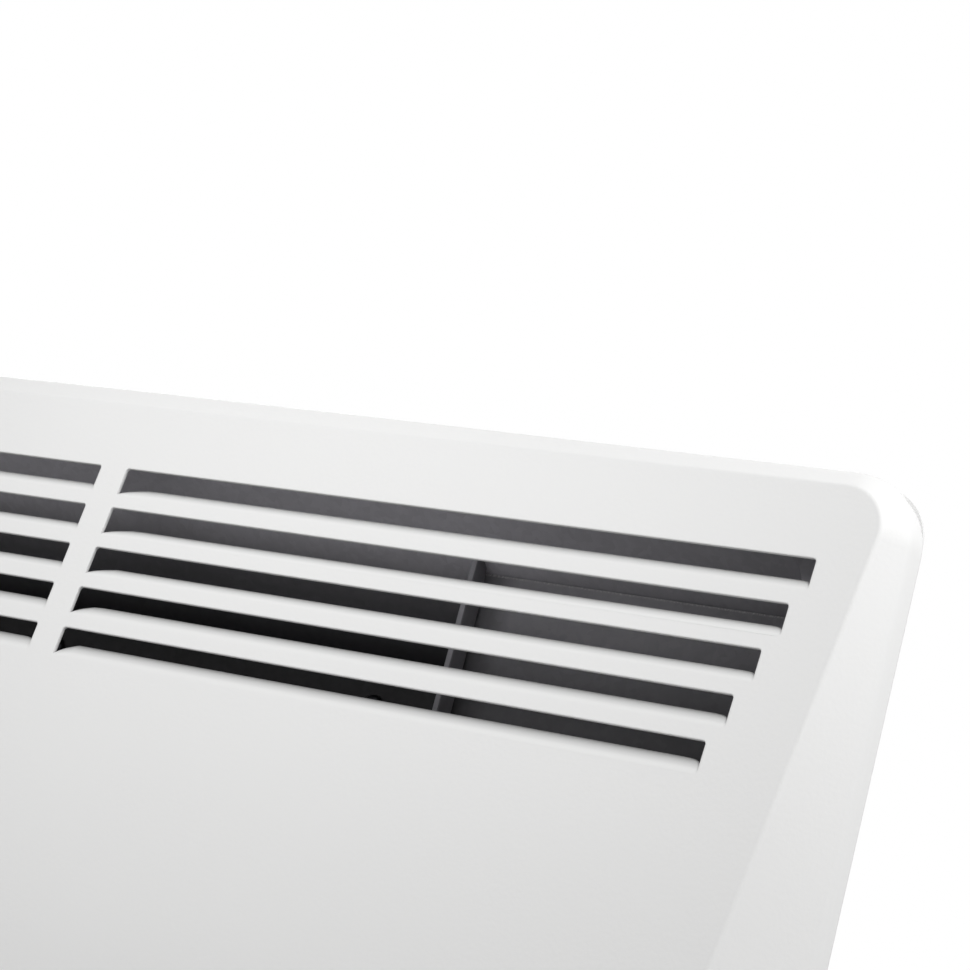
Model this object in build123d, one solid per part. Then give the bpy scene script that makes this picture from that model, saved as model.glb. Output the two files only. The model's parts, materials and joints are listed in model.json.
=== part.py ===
from build123d import *
import os
from math import atan, cos, degrees, pi, radians, sin, sqrt, tan

# Wall panel convector heater.
# Frame: +X to the right of someone facing the heater, the front faces -Y, +Z up.
# The origin is the middle of the wall bracket's four holes, on the wall plane y = 0.
# All sizes are millimetres.

# ---- front cover
cover_width = 465.0
cover_height = 400.0
cover_corner_radius = 17.0
cover_sheet = 1.0
cover_lip_width = 12.0        # inward hem round the open back
flange_depth = 10.7           # rim plane back to the cover's open back
rim_inset = 3.1               # where the bevel crosses the rim plane, in from the side
bevel_slope = 0.79            # inward run of the bevel for each millimetre forward
rim_step = 1.3                # how far the face stands proud of the rim at the top edge
face_tilt = 7.0               # lean of the upper and lower face, in degrees
bow_half_height = 60.0        # half height of the curved middle of the face
rim_fillet = 5.0
crease_fillet = 1.5

# ---- louvred grille in the cover
slot_pitch = 12.0
slot_rows = 5
slot_opening = 7.4
slot_length = 208.9           # top row
slot_shortening = 3.4         # each row ends this much before the one above
slot_top_drop = 24.0          # cover's top edge down to the first slot
centre_bar = 9.2              # between the left and right groups
slot_corner = 0.9
louvre_roll_radius = 3.0
louvre_end_taper = 12.0

# ---- rear chassis
wall_gap = 22.0               # wall to the chassis's back panel
chassis_depth = 53.0          # back panel's rear face to the flange's rear face
chassis_sheet = 1.0
chassis_side_inset = 27.0     # cover's side to chassis's side
chassis_top_inset = 17.0
chassis_bottom_inset = 27.0
chassis_corner_radius = 12.0
chassis_back_edge_radius = 4.0
chassis_flange_inset = 0.6    # the flange hides this far behind the cover's edge
chassis_flange_corner = 13.0
inlet_slot_width = 4.5
inlet_slot_length = 30.0
inlet_pitch = 9.5
inlet_edge_margin = 12.0

# ---- wall bracket
bracket_width = 290.0
bracket_height = 300.0
bracket_strip = 30.0
bracket_sheet = 1.5
bracket_corner_radius = 10.0
wall_hole_spacing_x = 220.0
wall_hole_spacing_z = 270.0
wall_hole_radius = 3.0
hook_height = 108.0           # where the chassis hangs in the hooks
hook_root_height = 18.0
hook_tip_height = 10.0
hook_tip_thickness = 3.0
hook_clearance = 0.3
hook_slot_width = 5.0
hook_slot_spare = 2.0
lift_travel = 11.0
support_arm_low = -125.0
support_arm_high = -95.0
support_arm_depth = 16.0
support_flange_width = 22.0
buffer_size = 18.0
seat_gap = 0.3                # between pieces that only rest near each other

# ---- turn latches on the bracket
latch_spacing = 140.0
latch_pivot_y = -9.0
latch_sheet = 2.0
latch_eye_radius = 7.0
latch_tongue_width = 9.0
latch_tongue_reach = 24.0
latch_finger_reach = 11.7
latch_finger_drop = 12.0
latch_shelf_radius = 6.5
latch_slot_spare = 1.5
rivet_radius = 2.5
rivet_head_radius = 4.5
rivet_head_height = 1.5
pivot_clearance = 0.08

# ---- inner sheet parts
inner_sheet = 0.8
deflector_rear_drop = 40.5    # chassis's top down to the deflector's rear bend
deflector_throat_drop = 2.5   # chassis's top down to where the deflector leaves it
deflector_rear_flange = 14.0
deflector_side_gap = 0.5
deflector_front_rise = 7.5
deflector_front_reach = 11.5
partition_side_room = 99.5    # chassis's right side to the partition
partition_front_y = -66.5     # front edge of the partition's stiffening rib
partition_rib_rise = 0.85     # the rib's top above the lid's
partition_end_gap = 0.5
partition_foot = 12.0
rib_rear_radius = 3.0
lid_y = -60.0
lid_return = 10.0
lid_return_low = -20.0
lid_return_high = 130.0
reflector_stand_off = 3.5
reflector_low = -125.0
reflector_high = -25.0

# ---- heating element
element_y = -56.0
element_z = -77.0
element_side_room = 35.5      # chassis's left side to the element
element_partition_room = 41.0
rod_spacing = 30.0
rod_radius = 4.2
rod_clearance = 0.15
rod_end_reach = 8.0
hub_radius = 7.5
fin_reach = 24.0
fin_thickness = 1.6
fin_count = 6
pin_radius = 1.6
pin_length = 8.0
bush_radius = 8.0
bush_length = 10.0
bush_flange_radius = 10.0
bush_flange_length = 3.0
element_bracket_gap = 8.0
element_bracket_width = 34.0
element_bracket_foot = 14.0

# ---- controls on the chassis's right side
controls_y = -43.0
bezel_width = 34.0
bezel_low = -130.0
bezel_high = -28.0
bezel_thickness = 3.0
bezel_corner_radius = 4.0
bezel_collar_depth = 6.0
bezel_side_margin = 2.0
bezel_end_margin = 9.0
bezel_wall = 0.9
knob_z = -55.0
knob_radius = 15.0
knob_height = 13.0
knob_gap = 0.8
knob_wall = 2.0
knob_rib_count = 24
knob_rib_radius = 0.7
shaft_radius = 3.0
shaft_clearance = 0.08
shaft_depth = 12.0
thermostat_size = 30.0
thermostat_depth = 20.0
thermostat_front_gap = 0.3
thermostat_neck_radius = 5.0
indicator_z = -82.0
indicator_radius = 3.0
rocker_z = -105.0
rocker_spacing = 16.0
switch_flange_width = 15.0
switch_flange_height = 21.0
switch_flange_thickness = 2.0
switch_body_width = 11.6
switch_body_height = 19.0
switch_body_depth = 18.0
rocker_width = 8.6
rocker_swing_radius = 7.6
rocker_swing_clearance = 0.25
rocker_tilt = 8.0
rocker_crest = 3.6
rocker_pin_radius = 1.2
rocker_pin_length = 0.8
rocker_pivot_height = 0.2
tab_width = 6.3
tab_thickness = 0.8
tab_length = 8.0
tab_half_pitch = 5.0

# ---- thermostat sensing bulb, wiring and cord inlet
lead_radius = 1.25
lead_bend_limit = 15.0        # a lead's arcs fill its corners up to this radius
tight_bend_limit = 5.0        # the same beside the partition, where there is less room
capillary_bend_limit = 12.0
grommet_bore_radius = 7.0
grommet_wall = 1.0
grommet_flange_radius = 10.0
grommet_block_room = 20.0     # terminal block's top up to the grommet
grommet_y = -40.0
capillary_radius = 0.8
capillary_y = -56.5
bulb_radius = 3.0
bulb_length = 44.0
bulb_stand_off = 3.0
terminal_block_side_room = 32.0   # partition to the block's middle
terminal_block_size_x = 36.0
terminal_block_size_z = 20.0
terminal_block_depth = 17.0
terminal_block_foot_room = 22.0   # chassis's bottom to the block's middle
terminal_pitch = 12.0
gland_side_room = 23.5        # chassis's right side to the gland
gland_bore_radius = 3.9
gland_body_radius = 6.5
gland_head_radius = 9.5
gland_head_height = 6.0
gland_nut_height = 4.0
gland_thread_length = 7.0
thread_clearance = 0.1
cutout_side_room = 20.0       # element's left end to the cut-out
cutout_z = 20.0
cutout_y = -33.0
cutout_radius = 8.0
cutout_height = 6.0
earth_side_room = 29.5
earth_foot_room = 26.0

# ---- fasteners
screw_radius = 1.6
screw_head_radius = 3.2
screw_head_height = 2.2
screw_clearance = 0.1
cover_screw_length = 9.0
inner_screw_length = 4.0
bezel_screw_length = 8.0
deflector_screw_inset = 25.5
partition_screw_spacing = 100.0
lid_screw_foot_room = 22.0
lid_screw_head_room = 32.0
lid_side_screw_inset = 20.0
reflector_screw_inset = 60.0
lead_clip_spacing = 80.0

# ---- planes and edges worked out from the sizes above
back_outer_y = -wall_gap
back_inner_y = back_outer_y - chassis_sheet
flange_rear_y = back_outer_y - chassis_depth
cover_back_y = flange_rear_y - chassis_sheet
rim_y = cover_back_y - flange_depth
face_top_y = rim_y - rim_step
face_slope = tan(radians(face_tilt))
bow_radius = bow_half_height / sin(radians(face_tilt))
chassis_half_width = cover_width / 2 - chassis_side_inset
chassis_top = cover_height / 2 - chassis_top_inset
chassis_bottom = -cover_height / 2 + chassis_bottom_inset
inner_half_width = chassis_half_width - chassis_sheet
inner_top = chassis_top - chassis_sheet
inner_bottom = chassis_bottom + chassis_sheet
inner_back_radius = chassis_back_edge_radius - chassis_sheet
partition_x = chassis_half_width - partition_side_room
deflector_rear_height = chassis_top - deflector_rear_drop
deflector_throat_height = chassis_top - deflector_throat_drop
element_left = element_side_room - chassis_half_width
element_right = partition_x - element_partition_room
rod_heights = [element_z + rod_spacing / 2, element_z - rod_spacing / 2]
left_bracket_x = element_left - element_bracket_gap
right_bracket_x = element_right + element_bracket_gap
rod_left = left_bracket_x - rod_end_reach
rod_right = right_bracket_x + rod_end_reach
lid_rear_y = lid_y + inner_sheet
deflector_rise = (deflector_throat_height - deflector_rear_height) / (back_inner_y - flange_rear_y)
lid_top = deflector_rear_height + (back_inner_y - lid_rear_y) * deflector_rise - inner_sheet
partition_top = lid_top + partition_rib_rise
cutout_x = element_left + cutout_side_room
terminal_block_x = partition_x + terminal_block_side_room
terminal_block_z = inner_bottom + terminal_block_foot_room
gland_x = chassis_half_width - gland_side_room
earth_x = chassis_half_width - earth_side_room
earth_z = inner_bottom + earth_foot_room
bezel_outer_x = chassis_half_width + bezel_thickness
thermostat_right = chassis_half_width - chassis_sheet - thermostat_front_gap
thermostat_left = thermostat_right - thermostat_depth
switch_back_x = bezel_outer_x - switch_body_depth
rocker_pivot_x = bezel_outer_x + rocker_pivot_height
rocker_ys = {"low": controls_y - rocker_spacing / 2, "high": controls_y + rocker_spacing / 2}
latch_shelf_top = -bracket_height / 2 + bracket_sheet
latch_low = latch_shelf_top + seat_gap
terminal_block_top = terminal_block_z + terminal_block_size_z / 2
grommet_z = terminal_block_top + grommet_block_room
lead_y = back_inner_y - terminal_block_depth / 2
bulb_z = inner_bottom + bulb_stand_off + bulb_radius


# ---- helpers
def front_plane(y):
    """Sketch plane facing the front: local axes X and Z."""
    return Plane(origin=(0, y, 0), x_dir=(1, 0, 0), z_dir=(0, -1, 0))


def side_plane(x):
    """Sketch plane facing right: local axes Y and Z."""
    return Plane(origin=(x, 0, 0), x_dir=(0, 1, 0), z_dir=(1, 0, 0))


def top_plane(z):
    """Sketch plane facing up: local axes X and Y."""
    return Plane(origin=(0, 0, z), x_dir=(1, 0, 0), z_dir=(0, 0, 1))


def block(x, y, z):
    """A box between two limits along each axis."""
    spans = [sorted(limits) for limits in (x, y, z)]
    size = [high - low for low, high in spans]
    middle = [(low + high) / 2 for low, high in spans]
    return Pos(*middle) * Box(*size)


def bar(start, direction, radius, length):
    """A round bar from a start point along a direction."""
    plane = Plane(origin=start, z_dir=direction)
    return extrude(plane * Circle(radius), amount=length)


def ring(start, direction, outer, inner, length):
    """A round tube from a start point along a direction."""
    plane = Plane(origin=start, z_dir=direction)
    return extrude(plane * (Circle(outer) - Circle(inner)), amount=length)


def prism(plane, points, length):
    """A flat outline with straight sides, extruded."""
    return extrude(plane * make_face(Polyline(*points, close=True)), amount=length)


def outward(direction):
    """The opposite direction."""
    return tuple(-component for component in direction)


def screw(seat, direction, length):
    """A pan head screw whose head sits on the seat point."""
    shank = bar(seat, direction, screw_radius, length)
    head = bar(seat, outward(direction), screw_head_radius, screw_head_height)
    rim = head.edges().filter_by(GeomType.CIRCLE).sort_by(SortBy.DISTANCE)
    top = [edge for edge in rim if (edge.center() - Vector(*seat)).length > screw_head_height / 2]
    return shank + fillet(top, screw_head_height * 0.4)


def screw_hole(seat, direction, length):
    """Clearance hole that a screw passes through."""
    start = Vector(*seat) - Vector(*direction)
    return bar(start, direction, screw_radius + screw_clearance, length + 2)


def bend_radii(points, limit):
    """A radius for each corner of a route: as large as its runs allow, up to a limit."""
    radii = []
    for before, corner, after in zip(points, points[1:], points[2:]):
        run_in = Vector(*corner) - Vector(*before)
        run_out = Vector(*after) - Vector(*corner)
        half_turn = radians(run_in.get_angle(run_out)) / 2
        room = 0.45 * min(run_in.length, run_out.length) / tan(half_turn)
        radii.append(min(limit, room))
    return radii


def lead(name, points, radius, limit):
    """A wire along straight runs joined by tangent arcs."""
    radii = bend_radii(points, limit)
    path = FilletPolyline(*points, radius=radii)
    start = Plane(origin=path @ 0, z_dir=path % 0)
    wire = sweep(start * Circle(radius), path=path)
    expected = pi * radius**2 * path.length
    print(name, "bend radii", [round(bend, 1) for bend in radii], "length", round(path.length, 1),
          "volume over section times length", round(wire.volume / expected, 4))
    return wire


def both_sides(place):
    """A place and its mirror image across the middle plane."""
    return [place, (-place[0], place[1], place[2])]


# ---- front cover
def face_y(z):
    """Front surface of the bowed face at a height."""
    reach = max(abs(z), bow_half_height)
    straight = face_top_y - (cover_height / 2 - reach) * face_slope
    if abs(z) >= bow_half_height:
        return straight
    return straight - sqrt(bow_radius**2 - z**2) + sqrt(bow_radius**2 - bow_half_height**2)


def cover_form(wall):
    """The cover's outer form, moved inward by a wall thickness."""
    bevel_angle = degrees(atan(bevel_slope))
    bevel_start = (rim_inset + wall * sqrt(1 + bevel_slope**2) - wall) / bevel_slope
    start_y = rim_y + bevel_start
    width = cover_width - 2 * wall
    height = cover_height - 2 * wall
    radius = cover_corner_radius - wall
    back_y = cover_back_y - wall
    corner_share = 0.9
    rise = corner_share * radius / bevel_slope
    inset = rise * bevel_slope
    outline = RectangleRounded(width, height, radius)
    form = extrude(front_plane(back_y) * outline, amount=back_y - start_y)
    form += extrude(front_plane(start_y) * outline, amount=rise, taper=bevel_angle)
    rim = form.edges().filter_by_position(Axis.Y, start_y - 0.01, start_y + 0.01)
    form = fillet(rim, rim_fillet - wall)
    raised = Rectangle(width - 2 * inset, height - 2 * inset)
    form += extrude(front_plane(start_y - rise) * raised, amount=rise, taper=bevel_angle)
    shift = wall / cos(radians(face_tilt))
    form &= face_body(shift, back_y, width)
    crease = [edge for edge in form.edges() if is_crease(edge, shift)]
    return fillet(crease, crease_fillet - wall * 0.7)


def face_body(shift, back_y, width):
    """Everything behind the bowed face, as one block."""
    end = cover_height / 2
    bow = bow_half_height
    top, upper, middle, lower, bottom = [
        (face_y(z) + shift, z) for z in (end, bow, 0, -bow, -end)]
    edge = Line(top, upper) + ThreePointArc(upper, middle, lower) + Line(lower, bottom)
    edge += Polyline(bottom, (back_y + 1, -end), (back_y + 1, end), top)
    return extrude(side_plane(-width / 2) * make_face(edge), amount=width)


def is_crease(edge, shift):
    """True for an edge round the face, but not for the ends of its curved middle."""
    middle = edge.position_at(0.5)
    on_face = abs(middle.Y - face_y(middle.Z) - shift) < 0.02
    bow_end = abs(abs(middle.Z) - bow_half_height) < 0.01
    return on_face and not bow_end


def grille_plane():
    """Plane on the face at the top row: local axes X and up the face."""
    z = cover_height / 2 - slot_top_drop
    tilt = radians(face_tilt)
    return Plane(origin=(0, face_y(z), z), x_dir=(1, 0, 0), z_dir=(0, -cos(tilt), sin(tilt)))


def slot_spans():
    """Each slot's limits along X and its top, in the grille plane."""
    spans = []
    for row in range(slot_rows):
        inner = centre_bar / 2
        outer = inner + slot_length - row * slot_shortening
        spans.append((inner, outer, -row * slot_pitch))
        spans.append((-outer, -inner, -row * slot_pitch))
    return spans


def slot_cutter(low_x, high_x, top):
    """Opening of one slot, through the cover's sheet."""
    middle = ((low_x + high_x) / 2, top - slot_opening / 2)
    outline = RectangleRounded(high_x - low_x, slot_opening, slot_corner)
    return extrude(grille_plane() * Pos(*middle) * outline, amount=3 * cover_sheet, both=True)


def louvre_roll(low_x, high_x, top):
    """The rolled lip along a slot's lower edge, with its rounded ends."""
    plane = grille_plane()
    edge_height = top - slot_opening
    outer = louvre_roll_radius
    inner = louvre_roll_radius - cover_sheet
    section = Plane(origin=plane.from_local_coords((low_x, edge_height, -outer)),
                    x_dir=plane.z_dir, z_dir=(1, 0, 0))
    quarter = Circle(outer) - Circle(inner)
    quarter &= Pos(outer, -outer) * Rectangle(2 * outer, 2 * outer)
    roll = extrude(section * quarter, amount=high_x - low_x)
    taper = louvre_end_taper
    left_end = EllipticalCenterArc((low_x + taper, 0), taper, outer, start_angle=90, arc_size=90)
    right_end = EllipticalCenterArc((high_x - taper, 0), taper, outer, start_angle=0, arc_size=90)
    outline = left_end + Line((low_x + taper, outer), (high_x - taper, outer)) + right_end
    outline += Line((high_x, 0), (low_x, 0))
    depth_plane = Plane(origin=plane.from_local_coords((0, edge_height - 1, 0)),
                        x_dir=(1, 0, 0), z_dir=plane.y_dir)
    envelope = extrude(depth_plane * make_face(outline), amount=outer + 2)
    return roll & envelope


def front_cover():
    """Pressed cover: bowed face, bevelled edge, louvred grille and back hem."""
    cover = cover_form(0) - cover_form(cover_sheet)
    hem_width = cover_width - 2 * cover_lip_width
    hem_height = cover_height - 2 * cover_lip_width
    hem_opening = RectangleRounded(hem_width, hem_height, cover_corner_radius / 2)
    cover -= extrude(front_plane(cover_back_y + 1) * hem_opening, amount=cover_sheet + 2)
    cover -= [slot_cutter(*span) for span in slot_spans()]
    cover -= [screw_hole(seat, (0, -1, 0), cover_screw_length) for seat in cover_screw_seats()]
    return cover + [louvre_roll(*span) for span in slot_spans()]


def cover_screw_seats():
    """Screw seats on the rear of the chassis flange, under the cover's hem."""
    x = cover_width / 2 - cover_lip_width / 2 - cover_sheet / 2
    z = cover_height / 2 - cover_lip_width / 2 - cover_sheet / 2
    y = flange_rear_y
    seats = [(offset, y, side * z) for side in (1, -1) for offset in (-x * 0.7, 0, x * 0.7)]
    seats += [(side * x, y, offset) for side in (1, -1) for offset in (-z * 0.45, z * 0.45)]
    return seats


# ---- rear chassis
def chassis_block(wall):
    """The chassis's box, moved inward by a wall thickness."""
    width = 2 * (chassis_half_width - wall)
    height = chassis_top - chassis_bottom - 2 * wall
    middle = (chassis_top + chassis_bottom) / 2
    outline = Pos(0, middle) * RectangleRounded(width, height, chassis_corner_radius - wall)
    back_y = back_outer_y - wall
    box = extrude(front_plane(back_y) * outline, amount=back_y - cover_back_y + wall)
    rear_edges = box.edges().filter_by_position(Axis.Y, back_y - 0.01, back_y + 0.01)
    return fillet(rear_edges, chassis_back_edge_radius - wall)


def inlet_slots():
    """Two rows of air inlet slots in the chassis's bottom, one under each chamber."""
    heating_row = (-inner_half_width + inlet_edge_margin, partition_x - inlet_edge_margin)
    control_row = (partition_x + inlet_edge_margin, gland_x - gland_head_radius - inlet_pitch / 2)
    middle_y = (back_inner_y + flange_rear_y) / 2
    outline = SlotOverall(inlet_slot_length, inlet_slot_width, rotation=90)
    slots = []
    for first, last in (heating_row, control_row):
        for index in range(int((last - first) / inlet_pitch) + 1):
            place = top_plane(chassis_bottom - 1) * Pos(first + index * inlet_pitch, middle_y)
            slots.append(extrude(place * outline, amount=chassis_sheet + 2))
    return slots


def hook_slot(x):
    """Opening that a bracket hook passes through."""
    low = hook_height - hook_root_height - hook_tip_height - hook_slot_spare
    half = hook_slot_width / 2
    return block((x - half, x + half), (back_outer_y + 1, back_inner_y - 1), (low, hook_height))


def latch_slot(x):
    """Opening that a latch's tongue swings into."""
    low = latch_low - hook_clearance * 2
    high = latch_low + latch_sheet + hook_clearance * 2
    swing = sqrt(latch_tongue_reach ** 2 + (latch_tongue_width / 2) ** 2)
    half = sqrt(swing ** 2 - (latch_pivot_y - back_outer_y) ** 2) + latch_slot_spare
    return block((x - half, x + half), (back_outer_y + 1, back_inner_y - 1), (low, high))


def control_opening():
    """Opening for the control panel in the chassis's right side."""
    half = bezel_width / 2 - bezel_side_margin
    x = (inner_half_width - 1, chassis_half_width + 1)
    z = (bezel_low + bezel_end_margin, bezel_high - bezel_end_margin)
    return block(x, (controls_y - half, controls_y + half), z)


def rear_chassis():
    """Rear box with an outward flange that the cover is screwed to."""
    flange_width = cover_width - 2 * chassis_flange_inset
    flange_height = cover_height - 2 * chassis_flange_inset
    flange_outline = RectangleRounded(flange_width, flange_height, chassis_flange_corner)
    flange = extrude(front_plane(flange_rear_y) * flange_outline, amount=chassis_sheet)
    box = chassis_block(0) & block((-cover_width, cover_width), (cover_back_y, 0),
                                   (-cover_height, cover_height))
    chassis = box + flange - chassis_block(chassis_sheet)
    chassis -= inlet_slots()
    chassis -= [hook_slot(x) for x in hook_places()]
    chassis -= [latch_slot(side * latch_spacing / 2) for side in (1, -1)]
    chassis -= control_opening()
    gland_hole = bar((gland_x, controls_y, chassis_bottom - 1), (0, 0, 1),
                     gland_body_radius + thread_clearance, chassis_sheet + 2)
    chassis -= gland_hole
    holes = [screw_hole(seat, (0, -1, 0), cover_screw_length) for seat in cover_screw_seats()]
    back_seats = deflector_seats() + element_seats() + partition_seats() + reflector_seats()
    holes += [screw_hole(seat, (0, 1, 0), inner_screw_length) for seat in back_seats]
    holes += [screw_hole(seat, (0, 1, 0), inner_screw_length) for seat in [cutout_seat()]]
    holes += [screw_hole(seat, (-1, 0, 0), inner_screw_length) for seat in lid_side_seats()]
    holes += [screw_hole(seat, (-1, 0, 0), bezel_screw_length) for seat in bezel_seats()]
    return chassis - holes


# ---- wall bracket, latches
def hook_places():
    """Middle planes of the two hook arms."""
    x = bracket_width / 2 - bracket_sheet / 2
    return [x, -x]


def hook_arm(x):
    """Arm bent forward from the bracket, with an upturned hook tip."""
    notch_front = back_inner_y - hook_clearance
    notch_rear = back_outer_y + hook_clearance
    tip_front = notch_front - hook_tip_thickness
    low = hook_height - hook_root_height
    high = hook_height + hook_tip_height
    slope = hook_root_height / 3
    points = [(0, low), (tip_front + slope, low), (tip_front, low + slope), (tip_front, high),
              (notch_front, high), (notch_front, hook_height), (notch_rear, hook_height),
              (notch_rear, high), (0, high)]
    return prism(side_plane(x - bracket_sheet / 2), points, bracket_sheet)


def support_arm(side):
    """Lower arm with a flange that the heater's buffer rests against."""
    outer = side * bracket_width / 2
    inner = outer - side * bracket_sheet
    z = (support_arm_low, support_arm_high)
    web = block((inner, outer), (0, -support_arm_depth), z)
    flange_y = (-support_arm_depth + bracket_sheet, -support_arm_depth)
    return web + block((outer - side * support_flange_width, outer), flange_y, z)


def latch_shelf(x):
    """Small shelf under a latch, with a round nose about the pivot."""
    low = latch_shelf_top - bracket_sheet
    straight = block((x - latch_shelf_radius, x + latch_shelf_radius), (0, latch_pivot_y),
                     (low, latch_shelf_top))
    return straight + bar((x, latch_pivot_y, low), (0, 0, 1), latch_shelf_radius, bracket_sheet)


def wall_holes():
    """Places of the bracket's four fixing holes."""
    x = wall_hole_spacing_x / 2
    z = wall_hole_spacing_z / 2
    return [(sx * x, sz * z) for sx in (1, -1) for sz in (1, -1)]


def wall_bracket():
    """Steel frame on the wall with hooks, lower supports and latch shelves."""
    frame = RectangleRounded(bracket_width, bracket_height, bracket_corner_radius)
    frame -= RectangleRounded(bracket_width - 2 * bracket_strip, bracket_height - 2 * bracket_strip,
                              bracket_corner_radius)
    frame -= [Pos(x, z) * Circle(wall_hole_radius) for x, z in wall_holes()]
    bracket = extrude(front_plane(0) * frame, amount=bracket_sheet)
    bracket += [hook_arm(x) for x in hook_places()]
    bracket += [support_arm(side) for side in (1, -1)]
    bracket += [latch_shelf(side * latch_spacing / 2) for side in (1, -1)]
    pins = [bar((side * latch_spacing / 2, latch_pivot_y, latch_shelf_top - bracket_sheet - 1),
                (0, 0, 1), rivet_radius, bracket_sheet + 2) for side in (1, -1)]
    return bracket - pins


def latch_rivets():
    """Rivets that the latches turn on."""
    length = bracket_sheet + latch_sheet + 2 * seat_gap
    rivets = []
    for side in (1, -1):
        foot = (side * latch_spacing / 2, latch_pivot_y, latch_shelf_top - bracket_sheet)
        top = (foot[0], foot[1], foot[2] + length)
        pin = bar(foot, (0, 0, 1), rivet_radius, length)
        rivets.append(pin + bar(top, (0, 0, 1), rivet_head_radius, rivet_head_height))
        rivets[-1] += bar(foot, (0, 0, -1), rivet_head_radius, rivet_head_height / 2)
    return rivets


def bracket_latch(side):
    """Turn latch, shown open with its tongue along the wall."""
    x = side * latch_spacing / 2
    y = latch_pivot_y
    half = latch_tongue_width / 2
    z = (latch_low, latch_low + latch_sheet)
    eye = bar((x, y, latch_low), (0, 0, 1), latch_eye_radius, latch_sheet)
    tongue = block((x, x - side * latch_tongue_reach), (y - half, y + half), z)
    corners = tongue.edges().filter_by(Axis.Z).sort_by(Axis.X)
    tongue = fillet(corners[:2] if side > 0 else corners[2:], half * 0.8)
    arm = block((x - half, x + half), (y, y - latch_finger_reach), z)
    finger_y = (y - latch_finger_reach, y - latch_finger_reach + latch_sheet)
    finger = block((x - half, x + half), finger_y, (latch_low - latch_finger_drop, z[1]))
    hole = bar((x, y, latch_low - 1), (0, 0, 1), rivet_radius + pivot_clearance, latch_sheet + 2)
    return eye + tongue + arm + finger - hole


def rear_buffers():
    """Rubber blocks on the back panel that keep the heater's lower half upright."""
    depth = (back_outer_y, -support_arm_depth - seat_gap)
    middle_z = (support_arm_low + support_arm_high) / 2
    middle_x = bracket_width / 2 - support_flange_width / 2
    half = buffer_size / 2
    z = (middle_z - half, middle_z + half)
    return [block((side * middle_x - half, side * middle_x + half), depth, z) for side in (1, -1)]


# ---- inner sheet parts
def sheet_strip(points, thickness, low_x, high_x):
    """Bent sheet: the line of its lower face, thickened and run along X."""
    line = Polyline(*points)
    outline = offset(line, thickness / 2, side=Side.BOTH, kind=Kind.INTERSECTION)
    return extrude(side_plane(low_x) * make_face(outline.edges()), amount=high_x - low_x)


def chamber_form(gap):
    """The chassis's inside outline, moved inward by a gap and run through its depth."""
    width = 2 * (inner_half_width - gap)
    height = inner_top - inner_bottom - 2 * gap
    radius = chassis_corner_radius - chassis_sheet - gap
    outline = Pos(0, (inner_top + inner_bottom) / 2) * RectangleRounded(width, height, radius)
    return extrude(front_plane(back_inner_y) * outline, amount=chassis_depth * 2)


def air_deflector():
    """Dark sheet that turns the warm air forward to the grille."""
    half = inner_half_width - inner_back_radius - deflector_side_gap
    narrow = inner_half_width - chassis_corner_radius
    rear_y = back_inner_y - inner_sheet / 2
    foot = deflector_rear_height - deflector_rear_flange
    front = (flange_rear_y - deflector_front_reach, deflector_throat_height + deflector_front_rise)
    points = [(rear_y, foot), (rear_y, deflector_rear_height),
              (flange_rear_y, deflector_throat_height), front]
    deflector = sheet_strip(points, inner_sheet, -half, half) & chamber_form(seat_gap)
    deflector += sheet_strip(points, inner_sheet, -narrow, narrow)
    holes = [screw_hole(seat, (0, 1, 0), inner_screw_length) for seat in deflector_seats()]
    return deflector - holes


def deflector_seats():
    """Screw seats on the deflector's rear flange."""
    z = deflector_rear_height - deflector_rear_flange / 2 - 2
    outer = chassis_half_width - deflector_screw_inset
    return [(outer * share, back_inner_y - inner_sheet, z) for share in (-1, -1 / 3, 1 / 3, 1)]


def partition_wall():
    """Full-height wall between the heating and control chambers, with a front rib."""
    x = (partition_x - inner_sheet / 2, partition_x + inner_sheet / 2)
    low = inner_bottom + partition_end_gap
    corner = inner_back_radius + partition_end_gap
    rear_top = deflector_rear_height - deflector_rear_flange - partition_foot / 6
    shelf_y = back_inner_y - 3 * inner_sheet
    shelf_top = lid_top - (shelf_y - lid_rear_y) * deflector_rise
    shoulder_y = lid_y - 0.8 * rib_rear_radius
    points = [(back_inner_y, low + corner), (back_inner_y - corner, low), (partition_front_y, low),
              (partition_front_y, partition_top), (shoulder_y, partition_top), (lid_y, lid_top),
              (lid_rear_y, lid_top), (shelf_y, shelf_top), (shelf_y, rear_top), (back_inner_y, rear_top)]
    wall = prism(side_plane(x[0]), points, inner_sheet)
    top_edges = wall.edges().filter_by(Axis.X).filter_by_position(
        Axis.Z, partition_top - 0.01, partition_top + 0.01)
    wall = fillet(top_edges.sort_by(Axis.Y)[-1:], rib_rear_radius)
    foot_y = (back_inner_y, back_inner_y - inner_sheet)
    wall += block((x[0], x[1] + partition_foot), foot_y, (low + corner, rear_top))
    lid_flange_top = lid_top - (inner_sheet + seat_gap) * 2
    wall += block((x[0], x[1] + lid_return), (lid_rear_y, lid_rear_y + inner_sheet),
                  (low, lid_flange_top))
    hole = bar((x[0] - 1, grommet_y, grommet_z), (1, 0, 0),
               grommet_bore_radius + grommet_wall, inner_sheet + 2)
    holes = [screw_hole(seat, (0, 1, 0), inner_screw_length) for seat in partition_seats()]
    holes += [screw_hole(seat, (0, 1, 0), inner_screw_length) for seat in lid_seats()]
    return wall - hole - holes


def partition_seats():
    """Screw seats on the partition's rear flange."""
    x = partition_x + partition_foot * 0.6
    return [(x, back_inner_y - inner_sheet, z) for z in
            (-partition_screw_spacing, 0, partition_screw_spacing)]


def lid_seats():
    """Screw seats on the control chamber's lid, over the partition's front flange."""
    x = partition_x + lid_return * 0.6
    low = inner_bottom + lid_screw_foot_room
    high = inner_top - lid_screw_head_room
    return [(x, lid_y, z) for z in (low, (low + high) / 2, high)]


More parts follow.
